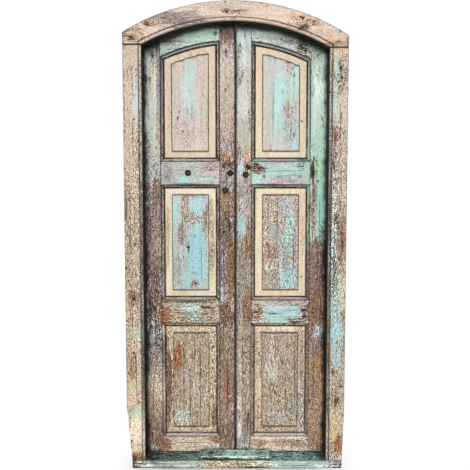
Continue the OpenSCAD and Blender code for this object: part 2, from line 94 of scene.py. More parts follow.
def painted_timber(name, along, quirks=(), run=1.0):
    """Old oil paint on weathered wood, with the grain along one axis of the object.
    Sound paint is soft and washed out along the grain. Worn paint has shrunk and flaked off in small lens
    shapes, its edges catch dirt, and the bare wood between is grey brown with raised fibres, so it looks
    dry and streaked. The quirks are the depths at which a moulding gets a black line of painted shade,
    each with its half width in millimetres. A run above 1 draws the grain out longer."""
    finish, tree, surface, place = blank(name)
    # Flakes, chips and fly specks are 5 to 11 mm wide, and the bands of the grain 16 mm. Fibres are under
    # 1 mm wide, and so is the tooth of weathered paint: they are drawn at 3.2 and 2.2 mm, because finer
    # ones don't show. The pull is a mark's width over its length along the grain.
    marks = {}
    for word, width, pull, detail, rough in (
            ("fibre", 3.2, 0.16, 1.5, 0.6), ("streak", 16, 0.05, 4, 0.6), ("flake", 5.2, 0.3, 4, 0.7),
            ("lift", 11, 0.18, 6, 0.74), ("speck", 6, 0.6, 3, 0.7), ("chip", 5, 0.4, 2, 0.6),
            ("tooth", 2.2, 0.5, 0.5, 0.5)):
        scale = [1, 1, 1]
        scale[along] = pull / run
        spread = add(tree, "ShaderNodeMapping", {"Vector": place, "Scale": scale, "Rotation": (0.6, 0.4, 0.9),
                                                 "Location": (width, 0, 0)})
        marks[word] = add(tree, "ShaderNodeTexNoise", {"Vector": spread, "Scale": 1 / (width * MM),
                                                       "Detail": detail, "Roughness": rough})
    fibre, streak, flake, lift, speck, chip, tooth = marks.values()
    coat, patch, wood, wear = (add(tree, "ShaderNodeAttribute", attribute_name=word)
                               for word in ("coat", "patch", "wood", "wear"))
    # The wood's alpha carries the board's dirt together with its painted shade.
    shown, grime_and_shade = patch.outputs["Alpha"], wood.outputs["Alpha"]
    arris, dotted, kept = add(tree, "ShaderNodeSeparateColor", {"Color": wear}).outputs

    # Where one colour gives way to another, sound paint is washed thin and worn paint breaks into flakes.
    soft = add(tree, "ShaderNodeMapRange", {"Value": kept, "From Min": 0.5, "From Max": 0.92,
                                            "To Min": 0.25, "To Max": 0.6})
    lifted = add(tree, "ShaderNodeMapRange", {"Value": lift, "From Min": 0.3, "From Max": 0.7})
    nibbled = add(tree, "ShaderNodeMapRange", {"Value": tooth, "From Min": 0.3, "From Max": 0.7,
                                               "To Min": -0.22, "To Max": 0.22})
    lifted = add(tree, "ShaderNodeMath", {0: lifted, 1: nibbled}, operation="ADD")
    span = add(tree, "ShaderNodeMath", {0: soft, 1: 2.0, 2: 1.0}, operation="MULTIPLY_ADD")
    drop = add(tree, "ShaderNodeMath", {0: shown, 1: span}, operation="MULTIPLY")
    edge_low = add(tree, "ShaderNodeMath", {0: 1.0, 1: drop}, operation="SUBTRACT")
    edge_high = add(tree, "ShaderNodeMath", {0: span, 1: drop}, operation="SUBTRACT")
    upper = add(tree, "ShaderNodeMapRange", {"Value": lifted, "From Min": edge_low, "From Max": edge_high},
                interpolation_type="SMOOTHSTEP")
    paint = add(tree, "ShaderNodeMix", {0: upper, 6: coat, 7: patch}, data_type="RGBA")
    amount = add(tree, "ShaderNodeMix", {0: upper, 2: coat.outputs["Alpha"], 3: kept})

    # How much of the paint is left decides where bare wood shows; arrises are rubbed bare first.
    peel = add(tree, "ShaderNodeMath", {0: flake, 1: 1.2, 2: fibre}, operation="MULTIPLY_ADD")
    peel = add(tree, "ShaderNodeMath", {0: streak, 1: 0.4, 2: peel}, operation="MULTIPLY_ADD")
    peel = add(tree, "ShaderNodeMapRange", {"Value": peel, "From Min": 0.95, "From Max": 1.65})
    left = add(tree, "ShaderNodeMath", {0: arris, 1: -0.3, 2: amount}, operation="MULTIPLY_ADD")
    edge = add(tree, "ShaderNodeMath", {0: 1.0, 1: left}, operation="SUBTRACT")
    edge_low = add(tree, "ShaderNodeMath", {0: edge, 1: 0.07}, operation="SUBTRACT")
    edge_high = add(tree, "ShaderNodeMath", {0: edge, 1: 0.07}, operation="ADD")
    cover = add(tree, "ShaderNodeMapRange", {"Value": peel, "From Min": edge_low, "From Max": edge_high},
                interpolation_type="SMOOTHSTEP")
    # The more is lost, the paler the flakes that stay and the darker the wood between them.
    paler = add(tree, "ShaderNodeMapRange", {"Value": amount, "To Min": 1.25, "To Max": 1})
    darker = add(tree, "ShaderNodeMapRange", {"Value": amount, "To Min": 0.9, "To Max": 1})
    fibre_tone = add(tree, "ShaderNodeMapRange", {"Value": fibre, "From Min": 0.3, "From Max": 0.7,
                                                  "To Min": 0.35, "To Max": 1.65})
    fibre_tone = add(tree, "ShaderNodeMath", {0: fibre_tone, 1: darker}, operation="MULTIPLY")
    grain = add(tree, "ShaderNodeMath", {0: streak, 1: fibre}, operation="ADD")
    paint_tone = add(tree, "ShaderNodeMapRange", {"Value": grain, "From Min": 0.7, "From Max": 1.3,
                                                  "To Min": 0.84, "To Max": 1.14})
    paint_tone = add(tree, "ShaderNodeMath", {0: paint_tone, 1: paler}, operation="MULTIPLY")
    bare_wood = add(tree, "ShaderNodeVectorMath", {0: wood, "Scale": fibre_tone}, operation="SCALE")
    paint = add(tree, "ShaderNodeVectorMath", {0: paint, "Scale": paint_tone}, operation="SCALE")
    blend = add(tree, "ShaderNodeMix", {0: cover, 6: bare_wood, 7: paint}, data_type="RGBA")
    # Chips of an old pale undercoat stay in worn wood.
    chip_edge = add(tree, "ShaderNodeMapRange", {"Value": amount, "From Min": 0.2, "From Max": 0.9,
                                                 "To Min": 0.62, "To Max": 0.78})
    chip_high = add(tree, "ShaderNodeMath", {0: chip_edge, 1: 0.05}, operation="ADD")
    chips = add(tree, "ShaderNodeMapRange", {"Value": chip, "From Min": chip_edge, "From Max": chip_high,
                                             "To Max": 0.75})
    blend = add(tree, "ShaderNodeMix", {0: chips, 6: blend, 7: (*linear(chalk), 1)}, data_type="RGBA")

    # Dirt sits under the edges of flakes and in specks; every quirk, joint and crevice is darkened as painted
    # shade.
    rim = add(tree, "ShaderNodeMath", {0: cover, 1: 0.5, 2: 0.3}, operation="COMPARE")
    rim = add(tree, "ShaderNodeMapRange", {"Value": rim, "To Min": 1, "To Max": 0.78})
    speck_edge = add(tree, "ShaderNodeMapRange", {"Value": dotted, "To Min": 0.76, "To Max": 0.52})
    speck_high = add(tree, "ShaderNodeMath", {0: speck_edge, 1: 0.035}, operation="ADD")
    spots = add(tree, "ShaderNodeMapRange", {"Value": speck, "From Min": speck_edge, "From Max": speck_high,
                                             "To Min": 1, "To Max": 0.1})
    # Ambient occlusion darkens crevices, joints and hollows in the colour: painted shade.
    occlusion = add(tree, "ShaderNodeAmbientOcclusion", {"Distance": 14 * MM}, samples=8).outputs["AO"]
    crevice_shade = add(tree, "ShaderNodeMapRange", {"Value": occlusion, "From Min": 0.46, "From Max": 0.86,
                                               "To Min": 1, "To Max": 0})
    crevice_shade = add(tree, "ShaderNodeMath", {0: crevice_shade, 1: 0.55}, operation="MULTIPLY")
    clean = add(tree, "ShaderNodeMath", {0: 1.0, 1: grime_and_shade}, operation="SUBTRACT")
    smear = add(tree, "ShaderNodeMath", {0: clean, 1: grime_and_shade}, operation="MULTIPLY")
    smear = add(tree, "ShaderNodeMath", {0: smear, 1: nibbled}, operation="MULTIPLY")
    dirt_and_shade = add(tree, "ShaderNodeMath", {0: smear, 1: 8.0, 2: grime_and_shade}, operation="MULTIPLY_ADD", use_clamp=True)
    dirt_and_shade = add(tree, "ShaderNodeMath", {0: crevice_shade, 1: dirt_and_shade}, operation="MAXIMUM")
    depth = add(tree, "ShaderNodeSeparateXYZ", {"Vector": place}).outputs["Y"]
    # Lines of painted shade at the depths of the quirks, as dark as the wear attribute's alpha says.
    for level, half in quirks:
        line = add(tree, "ShaderNodeMath", {0: depth, 1: level * MM, 2: half * MM}, operation="COMPARE")
        line = add(tree, "ShaderNodeMath", {0: line, 1: wear.outputs["Alpha"]}, operation="MULTIPLY")
        dirt_and_shade = add(tree, "ShaderNodeMath", {0: line, 1: dirt_and_shade}, operation="ADD", use_clamp=True)
    dirt_and_shade_tone = add(tree, "ShaderNodeMapRange", {"Value": dirt_and_shade, "To Min": 1, "To Max": 0.04})
    shade = add(tree, "ShaderNodeMath", {0: rim, 1: spots}, operation="MULTIPLY")
    shade = add(tree, "ShaderNodeMath", {0: shade, 1: dirt_and_shade_tone}, operation="MULTIPLY")
    # Worn paint is gritty, and sound paint almost smooth.
    sound = add(tree, "ShaderNodeMapRange", {"Value": amount, "From Min": 0.58, "From Max": 0.92,
                                             "To Min": 1, "To Max": 0.14})
    grit = add(tree, "ShaderNodeMapRange", {"Value": tooth, "From Min": 0.37, "From Max": 0.6,
                                            "To Min": -1, "To Max": 0.92})
    grit = add(tree, "ShaderNodeMath", {0: grit, 1: sound, 2: 1.0}, operation="MULTIPLY_ADD")
    shade = add(tree, "ShaderNodeMath", {0: shade, 1: grit}, operation="MULTIPLY")
    stain = add(tree, "ShaderNodeMapRange", {"Vector": tooth.outputs["Color"],
                                             7: (0.3, 0.3, 0.3), 8: (0.7, 0.7, 0.7),
                                             9: (0.94, 0.94, 0.94), 10: (1.06, 1.06, 1.06)},
                data_type="FLOAT_VECTOR")
    colour = add(tree, "ShaderNodeVectorMath", {0: blend, 1: stain}, operation="MULTIPLY")
    colour = add(tree, "ShaderNodeVectorMath", {0: colour, "Scale": shade}, operation="SCALE")
    # Flakes of paint and raised fibres stand 1 mm proud, and bare wood is drier than paint.
    rough = add(tree, "ShaderNodeMapRange", {"Value": cover, "To Min": 0.88, "To Max": 0.62})
    height = add(tree, "ShaderNodeMath", {0: fibre, 1: 0.7, 2: cover}, operation="MULTIPLY_ADD")
    height = add(tree, "ShaderNodeMath", {0: height, 1: spots}, operation="ADD")
    raised = add(tree, "ShaderNodeBump", {"Height": height, "Strength": 0.55, "Distance": 1.2 * MM})
    feed(tree, surface, {"Base Color": colour, "Roughness": rough, "Specular IOR Level": 0.3,
                         "Normal": raised})
    return finish


def region(wood, coat, amount, speck=0.2, dirt_and_shade=0.0, where=None, tones=(), coats=(), specks=(), grimes_and_shades=()):
    """One face or part of a board: its bare wood, its paint and how much of that is left, and its patches.
    A patch is x, z and its two half sizes in millimetres, and then what it changes to: in tones a colour of
    the bare wood, in coats a paint and how much of it is left, in specks how dirty it is, and in grimes and
    shades how dark it is with dirt and painted shade."""
    return {"wood": wood, "coat": coat, "amount": amount, "speck": speck, "dirt_and_shade": dirt_and_shade, "where": where,
            "tones": tones, "coats": coats, "specks": specks, "grimes_and_shades": grimes_and_shades}


def fine_copy(node, along, cracks, dents, cuts):
    """A merged copy of one timber, cut fine along and across its grain, and at each crack, dent and cut."""
    low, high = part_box(node)
    across = X if along == Z else Z
    cut = bmesh.new()
    cut.from_mesh(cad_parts[node].data)
    bmesh.ops.remove_doubles(cut, verts=cut.verts, dist=1e-6)
    bmesh.ops.dissolve_limit(cut, angle_limit=math.radians(0.05), verts=cut.verts, edges=cut.edges)
    planes = [(axis, level * MM) for axis, level in cuts]
    for axis, pitch in ((across, 5 * MM), (along, 16 * MM), (Y, 15 * MM)):
        count = int((high[axis] - low[axis]) / pitch)
        planes += [(axis, low[axis] + (high[axis] - low[axis]) * i / count) for i in range(1, count)]
    for line, _, _, width, _ in cracks:
        planes += [(across, (line + side * width) * MM) for side in (-1, -0.5, 0.5, 1)]
    for centre_x, centre_z, half_x, half_z, _, _ in dents:
        for side in (-0.8, -0.3, 0.3, 0.8):
            planes += [(X, (centre_x + side * half_x) * MM), (Z, (centre_z + side * half_z) * MM)]
    for axis, level in planes:
        bmesh.ops.bisect_plane(cut, geom=cut.verts[:] + cut.edges[:] + cut.faces[:], dist=1e-6,
                               plane_co=[level if i == axis else 0 for i in range(3)],
                               plane_no=[int(i == axis) for i in range(3)])
    bmesh.ops.triangulate(cut, faces=[face for face in cut.faces if len(face.verts) > 4])
    cut.normal_update()
    cut.verts.index_update()
    return cut


def finished_piece(cut, name, finish):
    """Makes a bmesh into a smooth piece of that name and finish, and puts it in the scene."""
    mesh = bpy.data.meshes.new(name)
    cut.to_mesh(mesh)
    cut.free()
    mesh.shade_smooth()
    mesh.materials.append(finish)
    piece = bpy.data.objects.new(name, mesh)
    bpy.context.scene.collection.objects.link(piece)
    return piece


def aged_board(node, body, slot, finish, along, regions, cracks=(), dents=(), soiled=(), cuts=(), lines=None,
               wear=0.8, seed=1):
    """One timber as age has left it, with its arrises worn, its shakes opened and its dents pressed in. It
    carries its own wood tone, paint, dirt, painted shade and wear as attributes. Sizes are in millimetres.
    A crack is its place across the grain, its start and end along it, its width and its depth. A dent is
    its x and z, its two half sizes, its depth and its dirt. Soiled and shaded says where more dirt and
    painted shade lie and how much, lines how dark the painted shade in the quirks of a moulding is, and
    wear how far the arrises are rounded."""
    cut = fine_copy(node, along, cracks, dents, cuts)
    spots = np.array([vert.co for vert in cut.verts]) / MM
    normals = np.array([vert.normal for vert in cut.verts])
    total = len(spots)
    # Points on an arris, points in an inner corner, and how far each may move before it meets the next
    sharp_bend = 0.5
    arris, hollow, room = np.zeros(total), np.zeros(total), np.full(total, 1e9)
    for line in cut.edges:
        bend = line.calc_face_angle_signed(0.0)
        length = line.calc_length() / MM
        for vert in line.verts:
            room[vert.index] = min(room[vert.index], length)
            if abs(bend) > sharp_bend:
                (arris if bend > 0 else hollow)[vert.index] = 1
    # Fine, middling and coarse unevenness of 14, 45 and 90 mm, drawn out along the grain, and 9 mm streaks
    pull = np.ones(3)
    pull[along] = 0.25
    ragged = [np.array([noise.noise(Vector(p)) for p in spots * pull / size + seed * 13.7 + size])
              for size in (14, 45, 90)]
    pull[along] = 0.1
    streaky = np.array([noise.noise(Vector(p)) for p in spots * pull / 9 + seed * 5.1])

    x, y, z = spots.T
    position, run = (x, z) if along == Z else (z, x)
    front = normals[:, Y] < -0.2
    inward = arris * wear * (0.35 + np.clip(2.2 * ragged[0], 0, 1.8))
    # Inner corners are darkened as painted shade, and arrises get a thin dark line.
    dirt_and_shade = np.maximum(0.5 * hollow, 0.35 * arris)
    for line, start, end, width, depth in cracks:
        t = np.clip((run - start) / (end - start), 0, 1)
        opened = front * (np.abs(position - line) < 0.6 * width) * np.sqrt(np.sin(np.pi * t))
        inward = np.maximum(inward, depth * opened)
        dirt_and_shade = np.maximum(dirt_and_shade, 0.6 * opened)
    for centre_x, centre_z, half_x, half_z, depth, grime_and_shade in dents:
        reach = ((x - centre_x) / half_x) ** 2 + ((z - centre_z) / half_z) ** 2 + 0.5 * ragged[0]
        pressed = front * np.clip(1 - reach, 0, 1)
        inward = np.maximum(inward, np.where(arris > 0, 1, 0.8) * depth * pressed)
        dirt_and_shade = np.maximum(dirt_and_shade, grime_and_shade * np.clip(2 * pressed, 0, 1))
    moved = spots - normals * np.minimum(inward, 0.45 * room)[:, None]
    for vert, spot in zip(cut.verts, moved):
        vert.co = spot * MM

    quirk_shade = np.ones(total) if lines is None else lines(x, y, z)
    coat, patch, wood, wear_and_quirk_shade = (np.ones((total, 4)) for _ in range(4))
    for part in regions:
        inside = np.ones(total, bool) if part["where"] is None else part["where"](x, y, z)
        grain, paint = (np.tile(linear(part[word]), (total, 1)) for word in ("wood", "coat"))
        speck, patch_grime_and_shade, left = (np.full(total, float(part[word])) for word in ("speck", "dirt_and_shade", "amount"))
        shown = np.zeros(total)
        coat[inside] = np.column_stack((paint, left))[inside]
        for kind in ("tones", "coats", "specks", "grimes_and_shades"):
            for i, (centre_x, centre_z, half_x, half_z, *change) in enumerate(part[kind]):
                # Each patch has a ragged edge of its own, and sound paint fades out over a longer way.
                reach = np.hypot((x - centre_x) / half_x, (z - centre_z) / half_z)
                reach += 0.5 * (ragged[1] * math.cos(2.4 * i) + ragged[2] * math.sin(2.4 * i))
                reach += 0.5 * streaky
                fade = 1.5 if kind == "coats" and change[1] > 0.84 else 1.0
                share = np.clip((1.5 - reach) / fade, 0, 1)
                if kind == "tones":
                    grain += share[:, None] * (linear(change[0]) - grain)
                elif kind == "coats":
                    share = np.minimum(share, 0.55 + 0.5 * change[1])
                    over = share / np.maximum(share + shown * (1 - share), 1e-6)
                    paint += over[:, None] * (linear(change[0]) - paint)
                    left += over * (change[1] - left)
                    shown = share + shown * (1 - share)
                elif kind == "specks":
                    speck += share * (change[0] - speck)
                else:
                    patch_grime_and_shade += share * (change[0] - patch_grime_and_shade)
        patch[inside] = np.column_stack((paint, shown))[inside]
        wood[inside] = np.column_stack((grain, np.maximum(patch_grime_and_shade, dirt_and_shade)))[inside]
        wear_and_quirk_shade[inside] = np.column_stack((arris, speck, left, quirk_shade))[inside]
    for where, amount in soiled:
        wood[:, 3] = np.maximum(wood[:, 3], amount * where(x, y, z))

    board = finished_piece(cut, node + "_timber", finish)
    for word, values in (("coat", coat), ("patch", patch), ("wood", wood), ("wear", wear_and_quirk_shade)):
        board.data.attributes.new(word, "FLOAT_COLOR", "POINT").data.foreach_set("color", values.ravel())
    board.data.set_sharp_from_angle(angle=math.radians(28))
    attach(board, body)
    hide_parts(node)


def arch_radius(x, z):
    """How far a point lies from the arch's centre."""
    return np.hypot(x - arch_x, z - arch_z)


def head_soffit(x, y, z):
    """The hollow underside of the arch and its rebate, from the back of the bead on."""
    bead_rear, soffit_r, soffit_half = -60, rebate_r + 4.5, 470
    return (y > bead_rear) & (arch_radius(x, z) < soffit_r) & (np.abs(x) < soffit_half)


def head_joint(x, y, z):
    """The dirt in the open joint between the arched head and a jamb."""
    reach, fade = 6, 3
    away = np.abs(z - np.where(x > 0, right_joint_z, left_joint_z))
    return np.clip((reach - away) / fade, 0, 1)


def outer_arris(x, y, z):
    """A dark line along the outer edge of the frame."""
    head_reach, side_reach, fade, head_low = 5, 4.5, 4, 2000
    arch = np.clip((arch_radius(x, z) - (head_r - head_reach)) / fade, 0, 1) * (z > head_low)
    return np.maximum(arch, np.clip((np.abs(x) - (frame_half - side_reach)) / fade, 0, 1))


level_grain = painted_timber("oil_paint_on_hardwood_level_grain", X)
aged_board(
    "arched_head", "frame", "frame_timber", level_grain, X, seed=1, wear=1.1,
    soiled=[(head_joint, 0.95), (outer_arris, 0.6)],
    cuts=[(Z, 2024), (Z, 2027), (Z, 2037), (Z, 2040)],
    regions=[region(
        oak, blush, 0.86, speck=0.4,
        tones=[(-40, 2184, 22, 9, "#7d6350"), (-408, 2128, 24, 14, "#8a6a4c"),
               (318, 2114, 22, 13, "#75594a"), (330, 2155, 28, 10, "#8a6a52"),
               (-490, 2066, 16, 16, "#8a6848")],
        coats=[(0, 2195, 170, 30, "#c9b7a6", 0.9), (-270, 2150, 130, 40, "#8f847d", 0.68),
               (-470, 2075, 50, 34, "#c0a791", 0.66), (300, 2130, 70, 34, "#c8b19c", 0.7),
               (460, 2060, 60, 34, "#d6b99f", 0.84), (200, 2180, 60, 20, "#ddcbb4", 0.9),
               (-40, 2184, 22, 10, "#a08672", 0.4), (10, 2180, 34, 12, "#b9a08c", 0.55),
               (-408, 2128, 26, 14, "#a98c70", 0.45), (-365, 2138, 26, 13, "#c0a896", 0.5),
               (318, 2114, 22, 13, "#8f7460", 0.4), (355, 2135, 28, 12, "#b89d88", 0.45),
               (312, 2156, 16, 9, "#9c7c64", 0.5), (-490, 2066, 16, 16, "#a08468", 0.45),
               (470, 2036, 60, 9, "#b08c72", 0.6)],
        specks=[(-40, 2184, 26, 12, 1), (10, 2180, 34, 12, 0.7), (-408, 2128, 26, 14, 0.95),
                (-370, 2136, 26, 14, 0.75), (318, 2114, 24, 13, 1), (312, 2156, 18, 10, 0.85),
                (355, 2138, 34, 20, 0.75), (-490, 2066, 20, 18, 0.95), (-300, 2150, 90, 30, 0.6),
                (420, 2090, 60, 30, 0.55), (-450, 2090, 60, 34, 0.65), (480, 2050, 50, 30, 0.5)]
    ), region(
        # The underside of the arch is dark green paint, darkened further with painted shade.
        black_green_shade, bottle, 0.55, speck=0.3, dirt_and_shade=0.45, where=head_soffit
    )],
    cracks=[(2188, -30, 60, 3, 2.5)],
    dents=[(-44, 2184, 7, 5, 2, 0.9), (312, 2114, 8, 6, 2, 0.85), (-412, 2125, 8, 5, 2, 0.8),
           (312, 2156, 6, 5, 1.5, 0.8), (362, 2138, 7, 4, 1.5, 0.8), (-488, 2066, 7, 9, 1.5, 0.8),
           (-48, 2226, 3, 10, 6, 0.9), (120, 2222, 18, 4, 3, 0.6), (-8, 2152, 18, 5, 3, 0.5)])

# Jambs of the frame.
# Two upright hardwood posts, rebated for the leaves and beaded inside, tenoned into head and sill.
# Layers of cream, blue and green paint have worn through in patches, and the feet have rotted a little.
upright_grain = painted_timber("oil_paint_on_hardwood_upright_grain", Z)
mint, umber, soot = "#c2d9c9", "#7d6656", "#221d18"
jamb_darkening = [(head_joint, 0.95), (outer_arris, 0.5)]


def reveal(x, y, z):
    """The jamb's face towards the doorway and its rebate, from the back of the bead on."""
    bead_rear, rebate_half, foot = -61, 457, 20
    return (y > bead_rear) & (np.abs(x) < rebate_half) & (z > foot)


# The jambs' faces towards the doorway are dark green paint, blackened further with painted shade.
dark_reveal = region(black_green_shade, bottle, 0.4, speck=0.4, dirt_and_shade=0.92, where=reveal)
aged_board(
    "left_jamb", "frame", "frame_timber", upright_grain, Z, seed=2, wear=1.3, soiled=jamb_darkening,
    cuts=[(Z, 2031), (Z, 2028)],
    regions=[region(
        "#a3927f", "#b7a793", 0.66, speck=0.5,
        tones=[(-522, 1290, 18, 60, umber), (-490, 840, 20, 40, "#7a5f46"), (-490, 570, 24, 36, "#a08c76"),
               (-500, 500, 10, 60, "#a07a4a"), (-480, 50, 50, 30, "#8c6a4c"), (-505, 30, 26, 30, soot)],
        coats=[(-490, 1990, 60, 50, "#c4b7a5", 0.84), (-500, 1800, 28, 190, "#cbbba6", 0.86),
               (-464, 1760, 12, 115, "#c6cccc", 0.9), (-500, 1560, 30, 110, "#c4b5a0", 0.76),
               (-470, 1440, 18, 90, "#b9b2a6", 0.5), (-505, 1400, 20, 60, "#bfad95", 0.7),
               (-500, 1180, 40, 120, "#b5a691", 0.6), (-470, 1200, 14, 160, "#b3a591", 0.6),
               (-490, 920, 40, 90, "#b9a994", 0.55), (-490, 840, 24, 36, "#a98f72", 0.3),
               (-485, 740, 40, 60, "#bba994", 0.62), (-478, 672, 30, 40, "#b2bcae", 0.78),
               (-490, 590, 30, 50, "#d0bca5", 0.62), (-470, 500, 16, 60, "#bcb2a2", 0.7),
               (-498, 490, 14, 70, "#b58f58", 0.4), (-480, 415, 34, 36, "#c9bd97", 0.8),
               (-485, 340, 40, 34, "#d2b9a0", 0.72), (-472, 274, 44, 34, "#bfd0b8", 0.95),
               (-480, 180, 50, 60, "#e0d2bc", 0.8), (-485, 100, 50, 30, "#d3bfa3", 0.7),
               (-490, 50, 50, 22, "#a98258", 0.3), (-500, 14, 40, 16, "#9fa79c", 0.4),
               (-447, 1250, 5, 800, "#b4aea6", 0.55)],
        specks=[(-470, 1430, 30, 90, 0.75), (-470, 1180, 30, 200, 0.45), (-485, 880, 40, 120, 0.45),
                (-490, 570, 40, 60, 0.7), (-480, 330, 40, 60, 0.6), (-500, 2010, 30, 40, 0.6),
                (-447, 900, 6, 900, 0.9)],
        grimes_and_shades=[(-523, 1300, 7, 60, 0.45), (-508, 34, 30, 22, 0.7), (-446, 1100, 5, 260, 0.5),
                (-446, 500, 5, 260, 0.5)]
    ), dark_reveal],
    cracks=[(-478, 300, 560, 3, 2.5), (-496, 640, 900, 3, 2.5), (-500, 1080, 1380, 3, 2.5),
            (-484, 1500, 1700, 2.5, 2)],
    dents=[(-527, 985, 9, 16, 7, 0.9), (-490, 574, 6, 8, 3, 0.9), (-482, 552, 5, 6, 2.5, 0.9),
           (-486, 838, 10, 12, 2.5, 0.7), (-526, 1325, 6, 24, 3, 0.6), (-527, 260, 6, 30, 4, 0.3),
           (-502, 30, 22, 22, 6, 0.8), (-470, 330, 10, 10, 2, 0.5), (-478, 1100, 8, 8, 2, 0.6)])
aged_board(
    "right_jamb", "frame", "frame_timber", upright_grain, Z, seed=3, wear=1.3, soiled=jamb_darkening,
    cuts=[(Z, 2017), (Z, 2014)],
    regions=[region(
        "#9c8c7b", "#b3a592", 0.66, speck=0.52,
        tones=[(508, 1120, 12, 90, "#8d6444"), (476, 1610, 20, 40, "#85604f"),
               (500, 100, 26, 60, "#9c6240"), (495, 1705, 7, 26, "#6a4a2c"), (476, 1220, 8, 30, "#5e4b3c"),
               (470, 1020, 24, 170, "#4a443e"), (466, 1400, 16, 160, "#7d6a60")],
        coats=[(490, 2000, 60, 30, "#d9c0a4", 0.85), (505, 1900, 22, 90, "#b5a797", 0.6),
               (470, 1930, 11, 50, mint, 0.92), (472, 1850, 14, 40, "#c8ccc0", 0.8),
               (470, 1730, 13, 80, "#bdd6cb", 0.95), (502, 1740, 20, 110, "#ccbeac", 0.74),
               (475, 1620, 20, 40, "#a08070", 0.35), (505, 1560, 22, 90, "#c3b3a2", 0.66),
               (470, 1500, 16, 60, "#b4aca0", 0.5), (500, 1400, 26, 90, "#c3b6a4", 0.68),
               (468, 1350, 14, 90, "#cfc9be", 0.58), (470, 1180, 16, 90, "#d3dfdb", 0.52),
               (508, 1130, 16, 90, "#9a7858", 0.3), (468, 1060, 20, 60, "#daf0ec", 0.56),
               (508, 960, 16, 90, "#bbb296", 0.66), (475, 900, 22, 90, "#b3cdc5", 0.56),
               (510, 850, 14, 60, "#c8c2aa", 0.72), (472, 790, 26, 60, "#a9c6be", 0.7),
               (488, 670, 26, 70, "#9fc3c8", 0.82), (505, 600, 20, 60, "#a8b0a4", 0.6),
               (486, 535, 20, 46, "#a6c8c8", 0.85), (480, 430, 30, 50, "#b5ab97", 0.55),
               (480, 340, 30, 50, "#b9ab93", 0.55), (490, 240, 34, 60, "#c6b396", 0.7),
               (480, 180, 30, 24, "#c5b288", 0.74), (498, 110, 24, 40, "#a87048", 0.38),
               (470, 90, 20, 40, "#b3a087", 0.58), (490, 46, 50, 26, "#c3bcae", 0.66),
               (447, 1250, 5, 800, "#a09c96", 0.5)],
        specks=[(490, 1880, 36, 70, 0.85), (475, 1560, 24, 110, 0.75), (472, 1380, 24, 160, 0.75),
                (472, 1080, 24, 120, 0.95), (475, 900, 26, 100, 0.95), (480, 780, 34, 40, 0.7),
                (480, 420, 40, 120, 0.55), (495, 110, 36, 60, 0.6), (490, 50, 50, 26, 0.8),
                (447, 1000, 6, 900, 0.9)],
        grimes_and_shades=[(446, 1300, 5, 200, 0.4), (446, 600, 5, 260, 0.5)]
    ), dark_reveal],
    cracks=[(470, 860, 1260, 3, 3), (484, 240, 420, 3, 2.5), (500, 1240, 1500, 2.5, 2),
            (492, 1600, 1760, 3, 2.5)],
    dents=[(490, 1925, 6, 10, 2, 0.9), (496, 1880, 8, 10, 2, 0.8), (480, 1862, 9, 6, 2, 0.8),
           (505, 1852, 9, 7, 2, 0.8), (488, 1840, 6, 6, 2, 0.8), (495, 1705, 4, 14, 2, 0.8),
           (476, 1222, 6, 22, 3, 0.8), (470, 480, 10, 12, 2.5, 0.7), (512, 408, 12, 5, 3, 0.8),
           (484, 330, 8, 26, 2.5, 0.7), (494, 345, 6, 18, 2.5, 0.6), (507, 1105, 6, 18, 2, 0.6),
           (502, 158, 10, 5, 2, 0.7), (527, 300, 5, 26, 4, 0.3)])

# Sill and its stop.
# A low hardwood threshold tenoned between the jambs, with a thin board nailed on that the leaves shut over.
# Both were painted teal; feet have worn the middle of the sill back to the wood and scored the stop.


def sill_top(x, y, z):
    """The tread behind the sill's front arris."""
    arris_rear, tread_low = -70, 30
    return (y > arris_rear) & (z > tread_low)


sill_grain = painted_timber("oil_paint_on_hardwood_sill", X, run=2.2)
aged_board(
    "sill", "frame", "sill_timber", sill_grain, X, seed=4, wear=1.4,
    regions=[region(
        "#a99a80", "#9fb1a6", 0.8, speck=0.5,
        coats=[(-60, 22, 100, 30, "#cbc2a6", 0.45), (40, 16, 60, 30, "#cbbfa0", 0.4),
               (-400, 20, 110, 30, "#8a9f94", 0.72), (330, 22, 170, 30, "#a2bbb0", 0.85),
               (150, 20, 60, 30, "#c3c9b6", 0.7), (-230, 24, 60, 30, "#abbdb1", 0.8),
               (-330, 27, 36, 5, "#e2ece3", 0.85), (-250, 14, 40, 5, "#e6efe6", 0.85),
               (-440, 12, 30, 5, "#dfe6dc", 0.8), (300, 30, 50, 5, "#dceee4", 0.85),
               (420, 12, 36, 5, "#dceee4", 0.8), (-488, 18, 24, 34, "#b5b3a8", 0.55),
               (492, 18, 34, 40, "#c4c3bc", 0.6)],
        tones=[(30, 10, 60, 20, "#a3957c"), (-80, 24, 70, 20, "#cbbf9f"), (-482, 18, 34, 30, "#57534a"),
               (484, 18, 36, 30, "#4c4842")],
        specks=[(-482, 18, 40, 30, 0.7), (484, 18, 40, 30, 0.85), (90, 12, 80, 16, 0.7),
                (-300, 20, 160, 30, 0.65), (330, 20, 130, 30, 0.55)],
        # Along its foot the sill is darkened by rot and by painted shade where it meets the floor.
        grimes_and_shades=[(100, 3, 60, 7, 0.9), (-300, 2, 90, 3, 0.6), (250, 1, 60, 3, 0.5), (-480, 2, 40, 4, 0.7)]
    ), region(
        "#171b18", "#9bbab1", 0.5, speck=0.7, where=sill_top,
        coats=[(250, 38, 120, 30, "#a3cac3", 0.54), (-330, 38, 130, 30, "#93aea5", 0.46)],
        grimes_and_shades=[(-440, 38, 50, 40, 0.6), (440, 38, 30, 40, 0.6)]
    )],
    cracks=[(14, 200, 380, 2.5, 2), (24, -420, -280, 2.5, 2)],
    dents=[(100, 0, 60, 9, 6, 0.95), (20, 0, 24, 4, 3, 0.6), (-180, 36, 16, 5, 2, 0.4),
           (-500, 0, 30, 16, 6, 0.6)])


